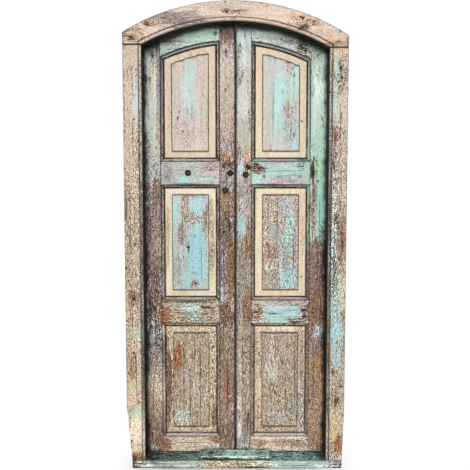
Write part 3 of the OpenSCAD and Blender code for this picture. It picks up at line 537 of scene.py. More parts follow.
def stop_nose(x, y, z):
    """The stop's front arris, painted as a pale highlight line."""
    nose_rear, nose_low = -56, 49
    return (y < nose_rear) & (z > nose_low)


aged_board(
    "sill_stop", "frame", "sill_timber", sill_grain, X, seed=5, wear=1.0,
    cuts=[(Y, -57), (Y, -54), (Z, 51.5), (Z, 48)],
    regions=[region(
        "#33433d", "#b0d8cb", 0.58, speck=0.55,
        coats=[(0, 50, 120, 60, "#bfeadb", 0.64), (-120, 50, 60, 60, "#a3cbbd", 0.5),
               (150, 50, 40, 60, "#b0d8cb", 0.55)]
    ), region(
        # A near-white painted highlight along the arris, broken by two duller patches.
        "#6d8078", "#f2fff6", 1.1, speck=0.4, where=stop_nose,
        coats=[(-120, 52, 40, 9, "#8fb5a8", 0.6), (150, 52, 30, 9, "#8fb5a8", 0.6)]
    )])

# Stiles of the left leaf.
# Two upright hardwood boards with an ovolo moulding run on the inner edge, mortised for the rails.
# The mint paint is sound near the top; below hand height sun and rain have taken it down to red brown wood.
leaf_mid = 56  # half way through a leaf's thickness, in millimetres


def leaf_back(x, y, z):
    """The back of the leaf and what lies behind the panels' grooves."""
    return y > leaf_mid


def leaf_edge(x, y, z):
    """Painted shade along the hinge side, deep in the reveal."""
    ragged = 3 * np.sin(z / 23) + 3 * np.sin(z / 9.1 + 1) + 4 * np.sin(z / 71)
    clean_half, fade = 424, 20
    return np.clip((np.abs(x) + ragged - clean_half) / fade, 0, 1)


def under_arch(x, y, z):
    """Dirt and painted shade close under the arched head, darkest at the top of the leaf."""
    ragged = 2 * np.sin(x / 17) + 3 * np.sin(x / 61 + 1)
    clean_r, fade, low = 884, 14, 1900
    return np.clip((arch_radius(x, z) + ragged - clean_r) / fade, 0, 1) * (z > low)


def shut_edge(x, y, z):
    """Painted shade along the arris where the two leaves meet."""
    reach, fade = 9, 6
    return np.clip((reach - np.abs(x)) / fade, 0, 1)


def moulding_shade(x, y, z):
    """How dark the painted shade in the quirks of the mouldings is: darkest near the top."""
    inner, outer = 76, 366
    framed = (y < leaf_mid) & (np.abs(x) > inner) & (np.abs(x) < outer)
    return framed * np.interp(z, (500, 1000, 1500, 1950), (0.4, 0.55, 0.7, 1))


def leaf_board(node, finish, along, regions, **details):
    """One timber of the leaf that its name begins with, its back worn like the others."""
    body = node.split("_")[0] + "_leaf"
    slot = "panel_timber" if node.endswith("panel") else "leaf_timber"
    aged_board(node, body, slot, finish, along, [*regions, bare_back], lines=moulding_shade, **details)


hinge_dirt_and_shade = [(leaf_edge, 0.97), (under_arch, 0.95)]
meeting_dirt_and_shade = [(shut_edge, 0.97), (under_arch, 0.95)]
# The depths of the quirks beside the ovolo that get a line of painted shade, each with its half width
leaf_quirks = ((40, 0.3), (41.2, 0.45), (48, 0.3))
leaf_upright = painted_timber("oil_paint_on_hardwood_leaf_upright", Z, leaf_quirks)
leaf_level = painted_timber("oil_paint_on_hardwood_leaf_level", X, leaf_quirks)
bare_back = region(
    "#9c8872", "#b0a894", 0.66, speck=0.35, where=leaf_back,
    coats=[(-330, 1930, 150, 130, "#b7c9bb", 0.86), (-120, 1840, 110, 170, "#b4b09f", 0.78),
           (170, 1900, 190, 150, "#b1c4b8", 0.84), (380, 1650, 90, 190, "#b9b3a2", 0.74),
           (-250, 1480, 190, 110, "#aeb7a9", 0.8), (120, 1420, 140, 120, "#a9beb4", 0.8),
           (330, 1180, 130, 150, "#b3ab99", 0.66), (-380, 1120, 80, 170, "#a59a88", 0.55),
           (-150, 1060, 130, 150, "#a8b9ae", 0.76), (90, 900, 110, 150, "#a99d8a", 0.6),
           (300, 740, 170, 110, "#abb9ac", 0.72), (-300, 700, 160, 130, "#a8977f", 0.5),
           (-90, 480, 120, 150, "#a3917b", 0.45), (240, 400, 190, 150, "#a0907c", 0.45),
           (-330, 260, 140, 150, "#95826d", 0.35), (0, 130, 420, 70, "#8f7d69", 0.25)])
leaf_board(
    "left_hinge_stile", leaf_upright, Z, seed=6, soiled=hinge_dirt_and_shade,
    regions=[region(
        "#8f7e74", "#aca79c", 0.5, speck=0.55,
        tones=[(-385, 1310, 22, 80, "#8a736a"), (-400, 1130, 40, 130, "#a08b7e"),
               (-400, 880, 40, 90, "#8a6c5e"), (-370, 740, 26, 60, "#9a7558"),
               (-410, 740, 40, 60, "#735c50"), (-400, 560, 50, 110, "#877b73"),
               (-400, 330, 50, 110, "#b5a38b"), (-385, 120, 30, 60, "#8f6a54"),
               (-425, 130, 26, 70, "#8a7361")],
        coats=[(-415, 2010, 50, 40, "#8f9280", 0.6), (-426, 1940, 20, 70, "#d6e5df", 0.92),
               (-395, 1900, 13, 120, "#e4d8c8", 0.9), (-366, 1800, 12, 260, "#a2959a", 0.8),
               (-428, 1830, 18, 50, "#a6aea2", 0.7), (-400, 1760, 26, 80, "#d2d6c9", 0.88),
               (-426, 1680, 20, 90, "#c2d9d0", 0.9), (-396, 1620, 16, 90, "#d0d4c3", 0.88),
               (-376, 1600, 12, 90, "#c6b2a8", 0.75), (-405, 1480, 50, 90, "#c3c3ba", 0.74),
               (-425, 1330, 24, 70, "#a9a8a0", 0.55), (-385, 1310, 22, 80, "#9a8583", 0.3),
               (-400, 1130, 40, 130, "#b8ada3", 0.38), (-400, 980, 40, 50, "#8f8880", 0.35),
               (-400, 870, 40, 80, "#c6bbb0", 0.3), (-400, 740, 40, 60, "#d8d2c8", 0.32),
               (-400, 600, 46, 90, "#aaa7a0", 0.45), (-410, 660, 16, 50, "#cfd2cc", 0.5),
               (-400, 470, 46, 60, "#b2a69a", 0.5), (-390, 340, 36, 90, "#cfc0aa", 0.64),
               (-415, 260, 24, 90, "#b8a58c", 0.55), (-360, 300, 10, 160, "#cdc2ae", 0.7),
               (-385, 120, 40, 60, "#a07c66", 0.25), (-360, 660, 8, 40, "#d5d6d0", 0.8),
               (-366, 900, 8, 60, "#b5c0ba", 0.7), (-400, 190, 60, 90, "#b39c88", 0.42)],
        specks=[(-405, 2010, 50, 40, 0.8), (-420, 1830, 30, 60, 0.6), (-405, 1680, 50, 240, 0.22),
                (-405, 1450, 50, 100, 0.7), (-400, 1130, 50, 170, 0.65), (-400, 850, 50, 160, 0.85),
                (-400, 620, 50, 120, 0.9), (-400, 300, 50, 170, 0.4), (-390, 110, 50, 60, 0.65),
                (-438, 1050, 16, 1000, 0.9)],
        # The top corner under the head and the strips down the hinge edge are darkened as painted shade; the
        # small patch at z 2000 is dirt in a dent.
        grimes_and_shades=[(-415, 2072, 60, 36, 0.97), (-452, 1300, 10, 800, 0.7), (-452, 400, 13, 400, 0.75),
                (-448, 1250, 24, 240, 0.55), (-450, 700, 24, 300, 0.5), (-400, 2000, 8, 14, 0.7)]
    )],
    cracks=[(-410, 180, 420, 3, 2.5), (-388, 780, 1000, 3, 2.5), (-418, 1080, 1300, 3, 2.5),
            (-396, 560, 760, 3, 3)],
    dents=[(-398, 2000, 6, 8, 2, 0.9), (-400, 770, 8, 16, 3, 0.6), (-420, 680, 8, 22, 2.5, 0.6)])
leaf_board(
    "left_meeting_stile", leaf_upright, Z, seed=7, soiled=meeting_dirt_and_shade,
    regions=[region(
        "#8f7c71", "#b5a89d", 0.5, speck=0.5,
        tones=[(-48, 2110, 60, 40, "#7a625a"), (-55, 1510, 24, 26, "#96735a"),
               (-45, 1300, 40, 60, "#967a60"), (-45, 1170, 40, 90, "#7d695d"),
               (-22, 970, 18, 140, "#86654e"), (-60, 980, 20, 120, "#7a6c6c"),
               (-45, 730, 44, 50, "#755648"), (-50, 570, 44, 100, "#83755f"),
               (-36, 370, 26, 110, "#8f6a56"), (-70, 300, 20, 160, "#8a7862"),
               (-45, 130, 44, 80, "#7c6253")],
        coats=[(-48, 2110, 60, 34, "#8a706a", 0.6), (-48, 2030, 50, 40, "#b3a69e", 0.65),
               (-48, 1880, 50, 110, "#c6bcb0", 0.76), (-30, 1760, 20, 200, "#b9a89c", 0.78),
               (-62, 1720, 20, 140, "#b6ac9b", 0.78), (-45, 1600, 50, 50, "#a89b93", 0.62),
               (-55, 1510, 26, 24, "#b98d64", 0.35), (-40, 1440, 40, 40, "#b3aca4", 0.55),
               (-45, 1390, 40, 30, "#a89f96", 0.5), (-45, 1290, 44, 50, "#a58d72", 0.3),
               (-24, 1205, 7, 40, chalk, 0.95), (-22, 1142, 9, 14, chalk, 0.85),
               (-50, 1170, 36, 70, "#8f7f76", 0.22), (-62, 960, 18, 130, "#9a989a", 0.5),
               (-20, 960, 16, 130, "#96694a", 0.25), (-70, 830, 16, 60, "#b9c0c0", 0.5),
               (-45, 730, 44, 44, "#8a6555", 0.15), (-50, 570, 44, 100, "#9a8f7a", 0.45),
               (-36, 370, 26, 110, "#a8866f", 0.3), (-70, 330, 16, 140, "#a79a82", 0.5),
               (-45, 130, 44, 80, "#988374", 0.35)],
        specks=[(-48, 2040, 50, 60, 0.7), (-48, 1800, 50, 160, 0.22), (-48, 1470, 50, 60, 0.7),
                (-45, 1150, 50, 140, 0.8), (-55, 900, 40, 140, 0.75), (-45, 730, 50, 60, 0.7),
                (-45, 400, 50, 260, 0.45)],
        grimes_and_shades=[(-40, 1476, 26, 12, 0.55), (-45, 2018, 8, 10, 0.7)]
    )],
    cracks=[(-34, 1120, 1320, 3, 3), (-58, 880, 1090, 3, 2.5), (-40, 240, 520, 3, 2.5),
            (-62, 560, 700, 2.5, 2)],
    dents=[(-30, 1478, 16, 8, 2.5, 0.85), (-58, 1472, 12, 7, 2.5, 0.8), (-45, 2020, 7, 8, 2, 0.8),
           (-48, 1840, 6, 6, 1.5, 0.6), (-28, 1180, 6, 30, 3, 0.7)])

# Rails of the left leaf.
# Four level boards with mitred mouldings: an arched top rail, a lock rail, a lower rail and a bottom rail.
# Grey and mint paint is left on them, rubbed through to tan wood where hands and boots reached.
arch_dirt_and_shade = [(under_arch, 0.95)]


def arched_moulding(x, y, z):
    """The moulding that follows the arch under a top rail."""
    moulding_r = 838
    return (y < leaf_mid) & (arch_radius(x, z) < moulding_r)


leaf_board(
    "left_top_rail", leaf_level, X, seed=8, soiled=arch_dirt_and_shade,
    regions=[region(
        "#989a8e", "#c3dacb", 0.84, speck=0.4,
        coats=[(-180, 2110, 90, 26, "#c4e2cb", 0.93), (-110, 2100, 40, 30, "#c0d6c7", 0.84),
               (-300, 2060, 60, 30, "#c3cec0", 0.78)],
        specks=[(-300, 2060, 60, 40, 0.6), (-110, 2100, 30, 30, 0.5)],
        # The darker patches near the end and along the top, under the head, are dirt and painted shade.
        grimes_and_shades=[(-355, 2086, 50, 24, 0.92), (-280, 2108, 70, 9, 0.6)]
    ), region(
        "#7d7a78", "#b4b8b0", 0.82, speck=0.3, where=arched_moulding
    )],
    dents=[(-96, 2106, 5, 14, 2, 0.8)])
leaf_board(
    "left_lock_rail", leaf_level, X, seed=9,
    regions=[region(
        "#8d817a", "#bab9b3", 0.82, speck=0.5,
        coats=[(-255, 1403, 42, 16, "#a9dad4", 0.97), (-150, 1412, 50, 14, "#b7d0d2", 0.88),
               (-130, 1468, 44, 30, "#b9a59e", 0.7), (-330, 1440, 26, 60, "#a69fa0", 0.7),
               (-230, 1480, 70, 20, "#bdbdb4", 0.85), (-220, 1373, 140, 8, "#90867f", 0.5)],
        specks=[(-330, 1440, 40, 60, 0.6), (-120, 1450, 40, 50, 0.5)],
        grimes_and_shades=[(-220, 1379, 130, 4, 0.5)]
    )],
    cracks=[(1452, -300, -180, 2.5, 2), (1422, -190, -110, 2.5, 2)],
    dents=[(-220, 1384, 120, 3, 2, 0.6), (-120, 1455, 12, 5, 1.5, 0.5)])
leaf_board(
    "left_lower_rail", leaf_level, X, seed=10,
    regions=[region(
        "#93816b", "#ada08b", 0.6, speck=0.4,
        tones=[(-355, 730, 30, 60, "#8f5f42"), (-90, 740, 30, 50, "#7d5a48")],
        coats=[(-215, 772, 48, 22, "#b0cbc0", 0.74), (-195, 722, 46, 26, "#aab8aa", 0.6),
               (-290, 790, 60, 12, "#b3ab9e", 0.7), (-130, 760, 40, 30, "#b0a291", 0.5),
               (-300, 730, 40, 30, "#c0ad93", 0.6), (-220, 818, 130, 7, "#b9b4ac", 0.85),
               (-355, 725, 24, 50, "#a07a5c", 0.25)],
        specks=[(-220, 796, 130, 8, 0.8), (-140, 750, 60, 40, 0.55)],
        grimes_and_shades=[(-220, 804, 120, 3, 0.5)]
    )],
    cracks=[(772, -170, -100, 4, 3), (748, -320, -200, 2.5, 2)],
    dents=[(-140, 774, 34, 5, 3, 0.85), (-220, 804, 110, 3, 2, 0.7)])
leaf_board(
    "left_bottom_rail", leaf_level, X, seed=11,
    regions=[region(
        "#b0a08e", "#d2c5b4", 0.68, speck=0.45,
        tones=[(-370, 90, 30, 50, "#8f6c58"), (-95, 102, 34, 16, "#a87a62"), (-348, 76, 26, 30, "#9c7460")],
        coats=[(-220, 126, 140, 8, "#cfc2ba", 0.85), (-95, 102, 30, 14, "#b98a6a", 0.3),
               (-350, 78, 24, 30, "#a8826c", 0.35), (-190, 92, 70, 14, "#cdbd9c", 0.75),
               (-100, 62, 50, 12, "#bfc4b4", 0.6)],
        specks=[(-220, 80, 150, 40, 0.5)]
    )],
    cracks=[(86, -300, -140, 2.5, 2)],
    dents=[(-90, 44, 30, 6, 3, 0.4)])

# Panels of the left leaf.
# Three hardwood boards with a raised flat field and a sloping margin, held loose in grooves.
# The margins are picked out in cream; the fields keep blush, aqua and bare weathered wood.


def panel_margin(x, y, z):
    """The sloping border round a panel's raised field, from half way down the step."""
    step_mid = 42.3
    return y > step_mid


# The depths of the lines of painted shade along the inner and outer edges of a panel's margin, each with its
# half width
panel_quirks = ((43.75, 0.45), (50.7, 0.5))
panel_upright = painted_timber("oil_paint_on_hardwood_panel", Z, panel_quirks)
leaf_board(
    "left_top_panel", panel_upright, Z, seed=12, wear=0.5,
    regions=[region(
        "#a3938a", "#cfc3b8", 0.9, speck=0.28,
        coats=[(-228, 1880, 30, 110, "#bfdcd2", 0.97), (-222, 1790, 26, 70, "#c5d4d2", 0.93),
               (-165, 1900, 34, 120, "#cdbbb2", 0.86), (-150, 1700, 24, 140, "#c2bba8", 0.85),
               (-285, 1850, 26, 140, "#cbc0b4", 0.88), (-215, 1720, 34, 40, "#b9bdb8", 0.8),
               (-230, 1620, 60, 60, "#c6b4ac", 0.78), (-250, 1643, 16, 10, "#c9d3cc", 0.9)],
        specks=[(-220, 1660, 90, 110, 0.42)]
    ), region(
        "#a08a70", "#e2d0b4", 0.94, speck=0.2, where=panel_margin,
        coats=[(-250, 2020, 120, 36, "#dfc7b0", 0.92), (-335, 1850, 22, 160, "#e8d0b8", 0.93),
               (-110, 1850, 26, 200, "#d2c1a6", 0.86)],
        specks=[(-240, 1532, 100, 12, 0.6), (-112, 1840, 12, 200, 0.5), (-325, 1680, 10, 90, 0.5)]
    )],
    dents=[(-275, 1732, 6, 6, 2, 0.9), (-281, 1704, 6, 12, 2, 0.9), (-253, 1641, 6, 5, 2, 0.8),
           (-270, 1738, 7, 4, 1.5, 0.7)])
leaf_board(
    "left_middle_panel", panel_upright, Z, seed=13, wear=0.5,
    regions=[region(
        "#a08c80", "#b3bdb6", 0.82, speck=0.42,
        tones=[(-245, 1260, 26, 80, "#a8938a"), (-148, 1180, 18, 90, "#967c68"),
               (-200, 895, 24, 24, "#a07a78")],
        coats=[(-298, 1240, 28, 120, "#b3d4cc", 0.93), (-245, 1270, 22, 70, "#b5a39b", 0.5),
               (-190, 1280, 48, 62, "#b1d3d7", 0.92), (-146, 1180, 18, 90, "#a8927f", 0.35),
               (-262, 1140, 20, 60, "#a69487", 0.4), (-195, 1080, 50, 130, "#a1c9ce", 0.9),
               (-185, 960, 50, 110, "#9ec9cf", 0.88), (-285, 960, 30, 90, "#a4aaa5", 0.7),
               (-235, 915, 30, 40, "#a8cfc5", 0.9), (-200, 892, 18, 14, "#ab8f90", 0.5),
               (-240, 1326, 40, 12, "#b3a29c", 0.7), (-210, 1215, 40, 24, "#b3a99c", 0.5),
               (-285, 1060, 26, 26, "#b3beb0", 0.8)],
        specks=[(-285, 960, 30, 90, 0.55), (-200, 1130, 20, 40, 0.45), (-200, 895, 30, 24, 0.6)]
    ), region(
        "#a58f70", "#e8dbc4", 0.95, speck=0.2, where=panel_margin,
        coats=[(-334, 1120, 10, 150, "#cdb996", 0.8), (-118, 1240, 18, 90, "#bfb194", 0.72),
               (-114, 1030, 14, 100, "#b7a68a", 0.66), (-230, 845, 120, 14, "#e0c8ae", 0.93),
               (-110, 900, 20, 60, "#ddcfa6", 0.93)],
        specks=[(-116, 1220, 16, 120, 0.65), (-116, 1030, 10, 100, 0.55), (-334, 1100, 8, 160, 0.45)]
    )],
    cracks=[(-262, 1090, 1290, 2.5, 2), (-168, 900, 1100, 2.5, 2)],
    dents=[(-233, 1076, 13, 8, 3, 0.98), (-231, 1066, 5, 18, 2, 0.9), (-233, 1092, 4, 10, 2, 0.8),
           (-200, 1132, 6, 6, 2, 0.7), (-205, 946, 6, 5, 2, 0.7), (-198, 895, 9, 9, 1.5, 0.55),
           (-246, 1086, 6, 3, 1.5, 0.7)])
leaf_board(
    "left_bottom_panel", panel_upright, Z, seed=14, wear=0.7,
    regions=[region(
        "#a3917b", "#ae9f88", 0.6, speck=0.45,
        tones=[(-286, 520, 24, 80, "#925b37"), (-275, 590, 20, 30, "#94705c"),
               (-290, 420, 24, 40, "#a88673")],
        coats=[(-286, 510, 22, 70, "#a0613a", 0.13), (-268, 218, 44, 44, "#bac1b3", 0.56),
               (-240, 500, 14, 60, "#b0a684", 0.55), (-245, 430, 30, 40, "#b5b0a2", 0.6),
               (-180, 300, 50, 90, "#bfb4a1", 0.6)],
        specks=[(-220, 400, 100, 260, 0.58)]
    ), region(
        "#8f7862", "#cdbb9f", 0.66, speck=0.4, where=panel_margin,
        tones=[(-338, 380, 16, 180, "#75614f"), (-322, 300, 14, 140, "#7d584a"),
               (-225, 146, 80, 8, "#86634a")],
        coats=[(-225, 662, 130, 16, "#cbb99e", 0.72), (-340, 560, 12, 90, "#b39c80", 0.5),
               (-335, 350, 16, 150, "#9a8468", 0.25), (-306, 240, 8, 110, "#d8c6ac", 0.85),
               (-110, 560, 20, 110, "#ccbea5", 0.6), (-110, 340, 20, 110, "#cfc19e", 0.57),
               (-110, 210, 16, 60, "#a89478", 0.35), (-270, 152, 60, 8, "#dcc9b4", 0.85)],
        specks=[(-110, 400, 22, 260, 0.75), (-330, 400, 20, 200, 0.55), (-225, 662, 120, 14, 0.5)]
    )],
    cracks=[(-258, 240, 560, 3, 2.5), (-226, 180, 480, 2.5, 2), (-176, 200, 620, 2.5, 2),
            (-204, 420, 640, 2.5, 2)],
    dents=[(-112, 574, 9, 9, 2, 0.6), (-103, 404, 7, 7, 2, 0.6), (-112, 212, 8, 14, 2, 0.6),
           (-262, 560, 5, 14, 2, 0.6)])

# Stiles of the right leaf.
# Boards like those of the left leaf; this leaf closes first, and its meeting stile carries one stud.
# The mint paint is strongest here, down the hinge side, and gives out to orange brown wood near the foot.
leaf_board(
    "right_meeting_stile", leaf_upright, Z, seed=15, soiled=meeting_dirt_and_shade,
    regions=[region(
        "#85786a", "#a8a295", 0.6, speck=0.35,
        tones=[(62, 1466, 20, 22, "#5c4a42"), (60, 1515, 24, 26, "#a58a78"), (58, 1080, 20, 60, "#8a6e56"),
               (64, 770, 22, 90, "#8c6656"), (62, 200, 24, 60, "#84705f")],
        coats=[(48, 2090, 60, 50, "#cbdedc", 0.95), (48, 1980, 50, 60, "#cfdad2", 0.92),
               (40, 1800, 34, 130, "#cfcfc4", 0.92), (70, 1850, 14, 150, "#bfb4b4", 0.85),
               (45, 1610, 50, 60, "#bab5a4", 0.84), (58, 1512, 26, 24, "#c4a791", 0.66),
               (24, 1440, 22, 50, "#c3cbcb", 0.85), (64, 1466, 16, 18, "#77665e", 0.3),
               (45, 1370, 40, 50, "#a49a95", 0.66), (60, 1280, 20, 60, "#b0a3a2", 0.7),
               (26, 1190, 22, 60, "#a9bfbc", 0.85), (70, 1150, 14, 100, "#ad9c98", 0.65),
               (30, 1020, 28, 90, "#99927e", 0.6), (62, 1070, 18, 60, "#a98a68", 0.45),
               (72, 940, 12, 90, "#ab9a96", 0.65), (24, 830, 22, 110, "#9a998b", 0.6),
               (64, 770, 22, 80, "#a97c66", 0.3), (44, 560, 46, 120, "#a89a86", 0.58),
               (22, 470, 18, 80, "#b3aca4", 0.65), (44, 340, 46, 90, "#a99b87", 0.58),
               (20, 150, 12, 70, "#d3d6d2", 0.85), (20, 290, 10, 40, "#c6c6bc", 0.6),
               (62, 180, 24, 60, "#9c8c7c", 0.45), (44, 60, 46, 24, "#b3aaa0", 0.6)],
        specks=[(45, 1580, 40, 60, 0.45), (50, 1440, 40, 50, 0.5), (64, 1466, 20, 22, 0.9),
                (45, 1200, 50, 120, 0.4), (45, 800, 50, 200, 0.5), (45, 200, 50, 150, 0.6)],
        grimes_and_shades=[(63, 1468, 16, 10, 0.4)]
    )],
    cracks=[(52, 820, 1090, 2.5, 2), (36, 380, 640, 2.5, 2), (60, 120, 260, 3, 2.5)],
    dents=[(54, 1471, 12, 9, 4, 0.7), (74, 1464, 14, 9, 4, 0.7), (48, 1566, 5, 5, 1.5, 0.6),
           (46, 2112, 6, 8, 1.5, 0.5), (64, 230, 10, 10, 2.5, 0.7)])
leaf_board(
    "right_hinge_stile", leaf_upright, Z, seed=16, soiled=hinge_dirt_and_shade,
    regions=[region(
        "#8a7462", "#b3d0bb", 0.8, speck=0.35,
        tones=[(375, 1450, 19, 64, "#4f392d"), (388, 1330, 12, 60, "#7a6a5e"),
               (390, 970, 34, 120, "#967c72"), (430, 960, 20, 130, "#726760"),
               (400, 770, 40, 80, "#86664e"), (400, 590, 44, 50, "#857069"), (400, 440, 44, 110, "#ad8d70"),
               (372, 300, 18, 26, "#6a4436"), (405, 180, 40, 130, "#af8d6f")],
        coats=[(400, 560, 110, 500, "#a3907e", 0.4), (400, 2000, 50, 40, "#aebfa8", 0.8),
               (405, 1860, 46, 130, "#e8ffee", 0.95), (410, 1680, 40, 90, "#cbe3d3", 0.92),
               (420, 1560, 30, 90, "#b9dcc5", 0.93), (358, 1750, 10, 260, "#bcc6be", 0.85),
               (415, 1440, 28, 50, "#b3d3b4", 0.92), (375, 1452, 15, 54, umber, 0.14),
               (418, 1320, 20, 80, "#a4d2c0", 0.94), (420, 1200, 18, 60, "#9fcdc0", 0.8),
               (375, 1270, 22, 110, "#a8a39a", 0.6), (388, 1330, 9, 50, "#9fa79a", 0.5),
               (425, 1110, 20, 60, "#93b8a8", 0.6), (395, 980, 44, 110, "#8f7a72", 0.25),
               (362, 950, 12, 150, "#9c938c", 0.55), (400, 770, 40, 80, "#a07850", 0.22),
               (410, 655, 24, 34, "#bccfc8", 0.62), (395, 590, 40, 36, "#a3928c", 0.5),
               (402, 440, 40, 110, "#b58c64", 0.35), (395, 890, 26, 60, "#a06c5c", 0.3),
               (405, 560, 36, 34, "#8f7272", 0.35), (430, 330, 16, 160, "#bda284", 0.5),
               (405, 200, 40, 130, "#b39a80", 0.4), (362, 300, 10, 200, "#a09488", 0.55)],
        specks=[(425, 1680, 24, 60, 0.6), (400, 1850, 46, 120, 0.2), (388, 1448, 30, 70, 0.85),
                (400, 1250, 44, 110, 0.45), (400, 950, 50, 150, 0.7), (405, 650, 40, 50, 0.85),
                (400, 400, 50, 250, 0.35), (438, 1050, 14, 1000, 0.85)],
        # The top corner under the head and the strips down the hinge edge are darkened as painted shade.
        grimes_and_shades=[(415, 2066, 60, 34, 0.95), (451, 1500, 10, 600, 0.75), (452, 500, 14, 600, 0.8),
                (448, 1000, 24, 160, 0.5), (450, 620, 24, 90, 0.45)]
    )],
    cracks=[(402, 880, 1090, 3, 2.5), (388, 240, 560, 2.5, 2), (420, 640, 840, 3, 2.5),
            (412, 1160, 1330, 2.5, 2)],
    dents=[(374, 1452, 10, 48, 4, 0.62), (382, 1440, 5, 26, 3, 0.7), (402, 1398, 9, 7, 2.5, 0.8),
           (382, 1508, 5, 12, 2.5, 0.8), (398, 2006, 7, 7, 2, 0.8), (421, 1700, 7, 10, 1.5, 0.6),
           (424, 1668, 4, 12, 1.5, 0.6), (372, 300, 9, 12, 2, 0.5)])

# Rails of the right leaf.
# The same four level boards; the lower one has been knocked about at its ends.
# Aqua and turquoise paint is bright in the middle of the lock and lower rails, with lilac grey under it.
leaf_board(
    "right_top_rail", leaf_level, X, seed=17, soiled=arch_dirt_and_shade,
    regions=[region(
        "#8e8c80", "#c6d0c4", 0.76, speck=0.5,
        coats=[(130, 2105, 50, 26, "#c9dccf", 0.92), (190, 2100, 60, 26, "#bac9bc", 0.82),
               (270, 2070, 50, 26, "#a9b2a6", 0.68), (325, 2034, 26, 26, "#c9c6b4", 0.4)],
        tones=[(325, 2034, 36, 30, "#4f463c")],
        specks=[(240, 2080, 70, 30, 0.6), (325, 2034, 40, 30, 0.85)],
        # The darker patches near the end and along the top, under the head, are dirt and painted shade.
        grimes_and_shades=[(350, 2078, 46, 22, 0.85), (250, 2110, 80, 9, 0.5)]
    ), region(
        "#7a7673", "#b4b6b0", 0.8, speck=0.35, where=arched_moulding
    )],
    dents=[(322, 2040, 10, 8, 2, 0.7), (338, 2022, 8, 10, 2, 0.7), (296, 2060, 8, 5, 1.5, 0.6)])
leaf_board(
    "right_lock_rail", leaf_level, X, seed=18,
    regions=[region(
        "#8a7f78", "#b3c7bf", 0.84, speck=0.56,
        coats=[(250, 1470, 80, 16, "#b3d2d4", 0.95), (240, 1440, 80, 14, "#aed5cd", 0.95),
               (350, 1440, 24, 50, "#b9d4c5", 0.9), (105, 1410, 40, 22, "#b9d6c8", 0.92),
               (230, 1405, 70, 8, "#b8a7ab", 0.8), (200, 1486, 60, 5, "#c0aead", 0.75),
               (240, 1390, 80, 7, "#bfa9aa", 0.75), (104, 1463, 30, 22, "#a58d82", 0.4),
               (220, 1504, 130, 6, "#b9b0ad", 0.8), (220, 1373, 130, 8, "#9da195", 0.6)],
        tones=[(104, 1462, 34, 26, "#6d4d42")],
        specks=[(108, 1460, 40, 32, 0.85), (322, 1464, 30, 26, 0.98)],
        grimes_and_shades=[(150, 1381, 70, 4, 0.6)]
    )],
    cracks=[(1448, 160, 300, 2.5, 2), (1424, 200, 330, 2.5, 2), (1462, 90, 150, 3, 2.5)],
    dents=[(318, 1470, 12, 5, 2.5, 0.85), (330, 1462, 6, 4, 2, 0.8), (314, 1418, 7, 5, 2, 0.7),
           (112, 1436, 12, 4, 2.5, 0.8), (100, 1484, 16, 4, 2.5, 0.7), (140, 1420, 5, 14, 2, 0.6),
           (320, 1502, 28, 4, 2.5, 0.7)])
leaf_board(
    "right_lower_rail", leaf_level, X, seed=19,
    regions=[region(
        "#97846f", "#b9ab9c", 0.58, speck=0.5,
        tones=[(100, 745, 30, 40, "#8a7164"), (348, 750, 26, 50, "#70584b")],
        coats=[(225, 765, 95, 24, "#add4d3", 0.92), (200, 722, 75, 26, "#a9d0c8", 0.9),
               (290, 745, 40, 26, "#aecfcd", 0.88), (215, 774, 60, 9, "#c6d0dc", 0.9),
               (220, 800, 130, 10, "#bdb0a4", 0.8), (110, 740, 30, 30, "#c9baae", 0.46),
               (348, 750, 24, 44, "#cdc1b8", 0.46), (220, 820, 140, 7, "#b9ada8", 0.8),
               (305, 706, 24, 6, "#d8dcd6", 0.85)],
        specks=[(110, 745, 40, 40, 0.75), (345, 750, 34, 50, 0.8), (220, 745, 80, 40, 0.32)]
    )],
    cracks=[(742, 150, 240, 3, 3), (760, 230, 330, 2.5, 2.5)],
    dents=[(300, 703, 44, 6, 5, 0.95), (270, 712, 20, 4, 3, 0.8), (335, 760, 16, 8, 3, 0.8),
           (340, 730, 14, 8, 3, 0.8), (104, 752, 12, 8, 2.5, 0.7), (130, 748, 10, 6, 2, 0.7),
           (185, 744, 22, 3, 2, 0.6)])
leaf_board(
    "right_bottom_rail", leaf_level, X, seed=20,
    regions=[region(
        "#bcab98", "#dccfbe", 0.68, speck=0.5,
        tones=[(115, 80, 40, 26, "#ab8a70"), (300, 82, 60, 26, "#a9907c")],
        coats=[(220, 126, 140, 8, "#cabdb2", 0.85), (115, 82, 36, 22, "#bf986e", 0.42),
               (230, 86, 50, 20, "#c9b09a", 0.65), (320, 80, 40, 20, "#bc9e84", 0.5)],
        specks=[(230, 80, 140, 36, 0.6)]
    )],
    cracks=[(92, 160, 320, 2.5, 2)],
    dents=[(240, 44, 26, 5, 2, 0.4)])

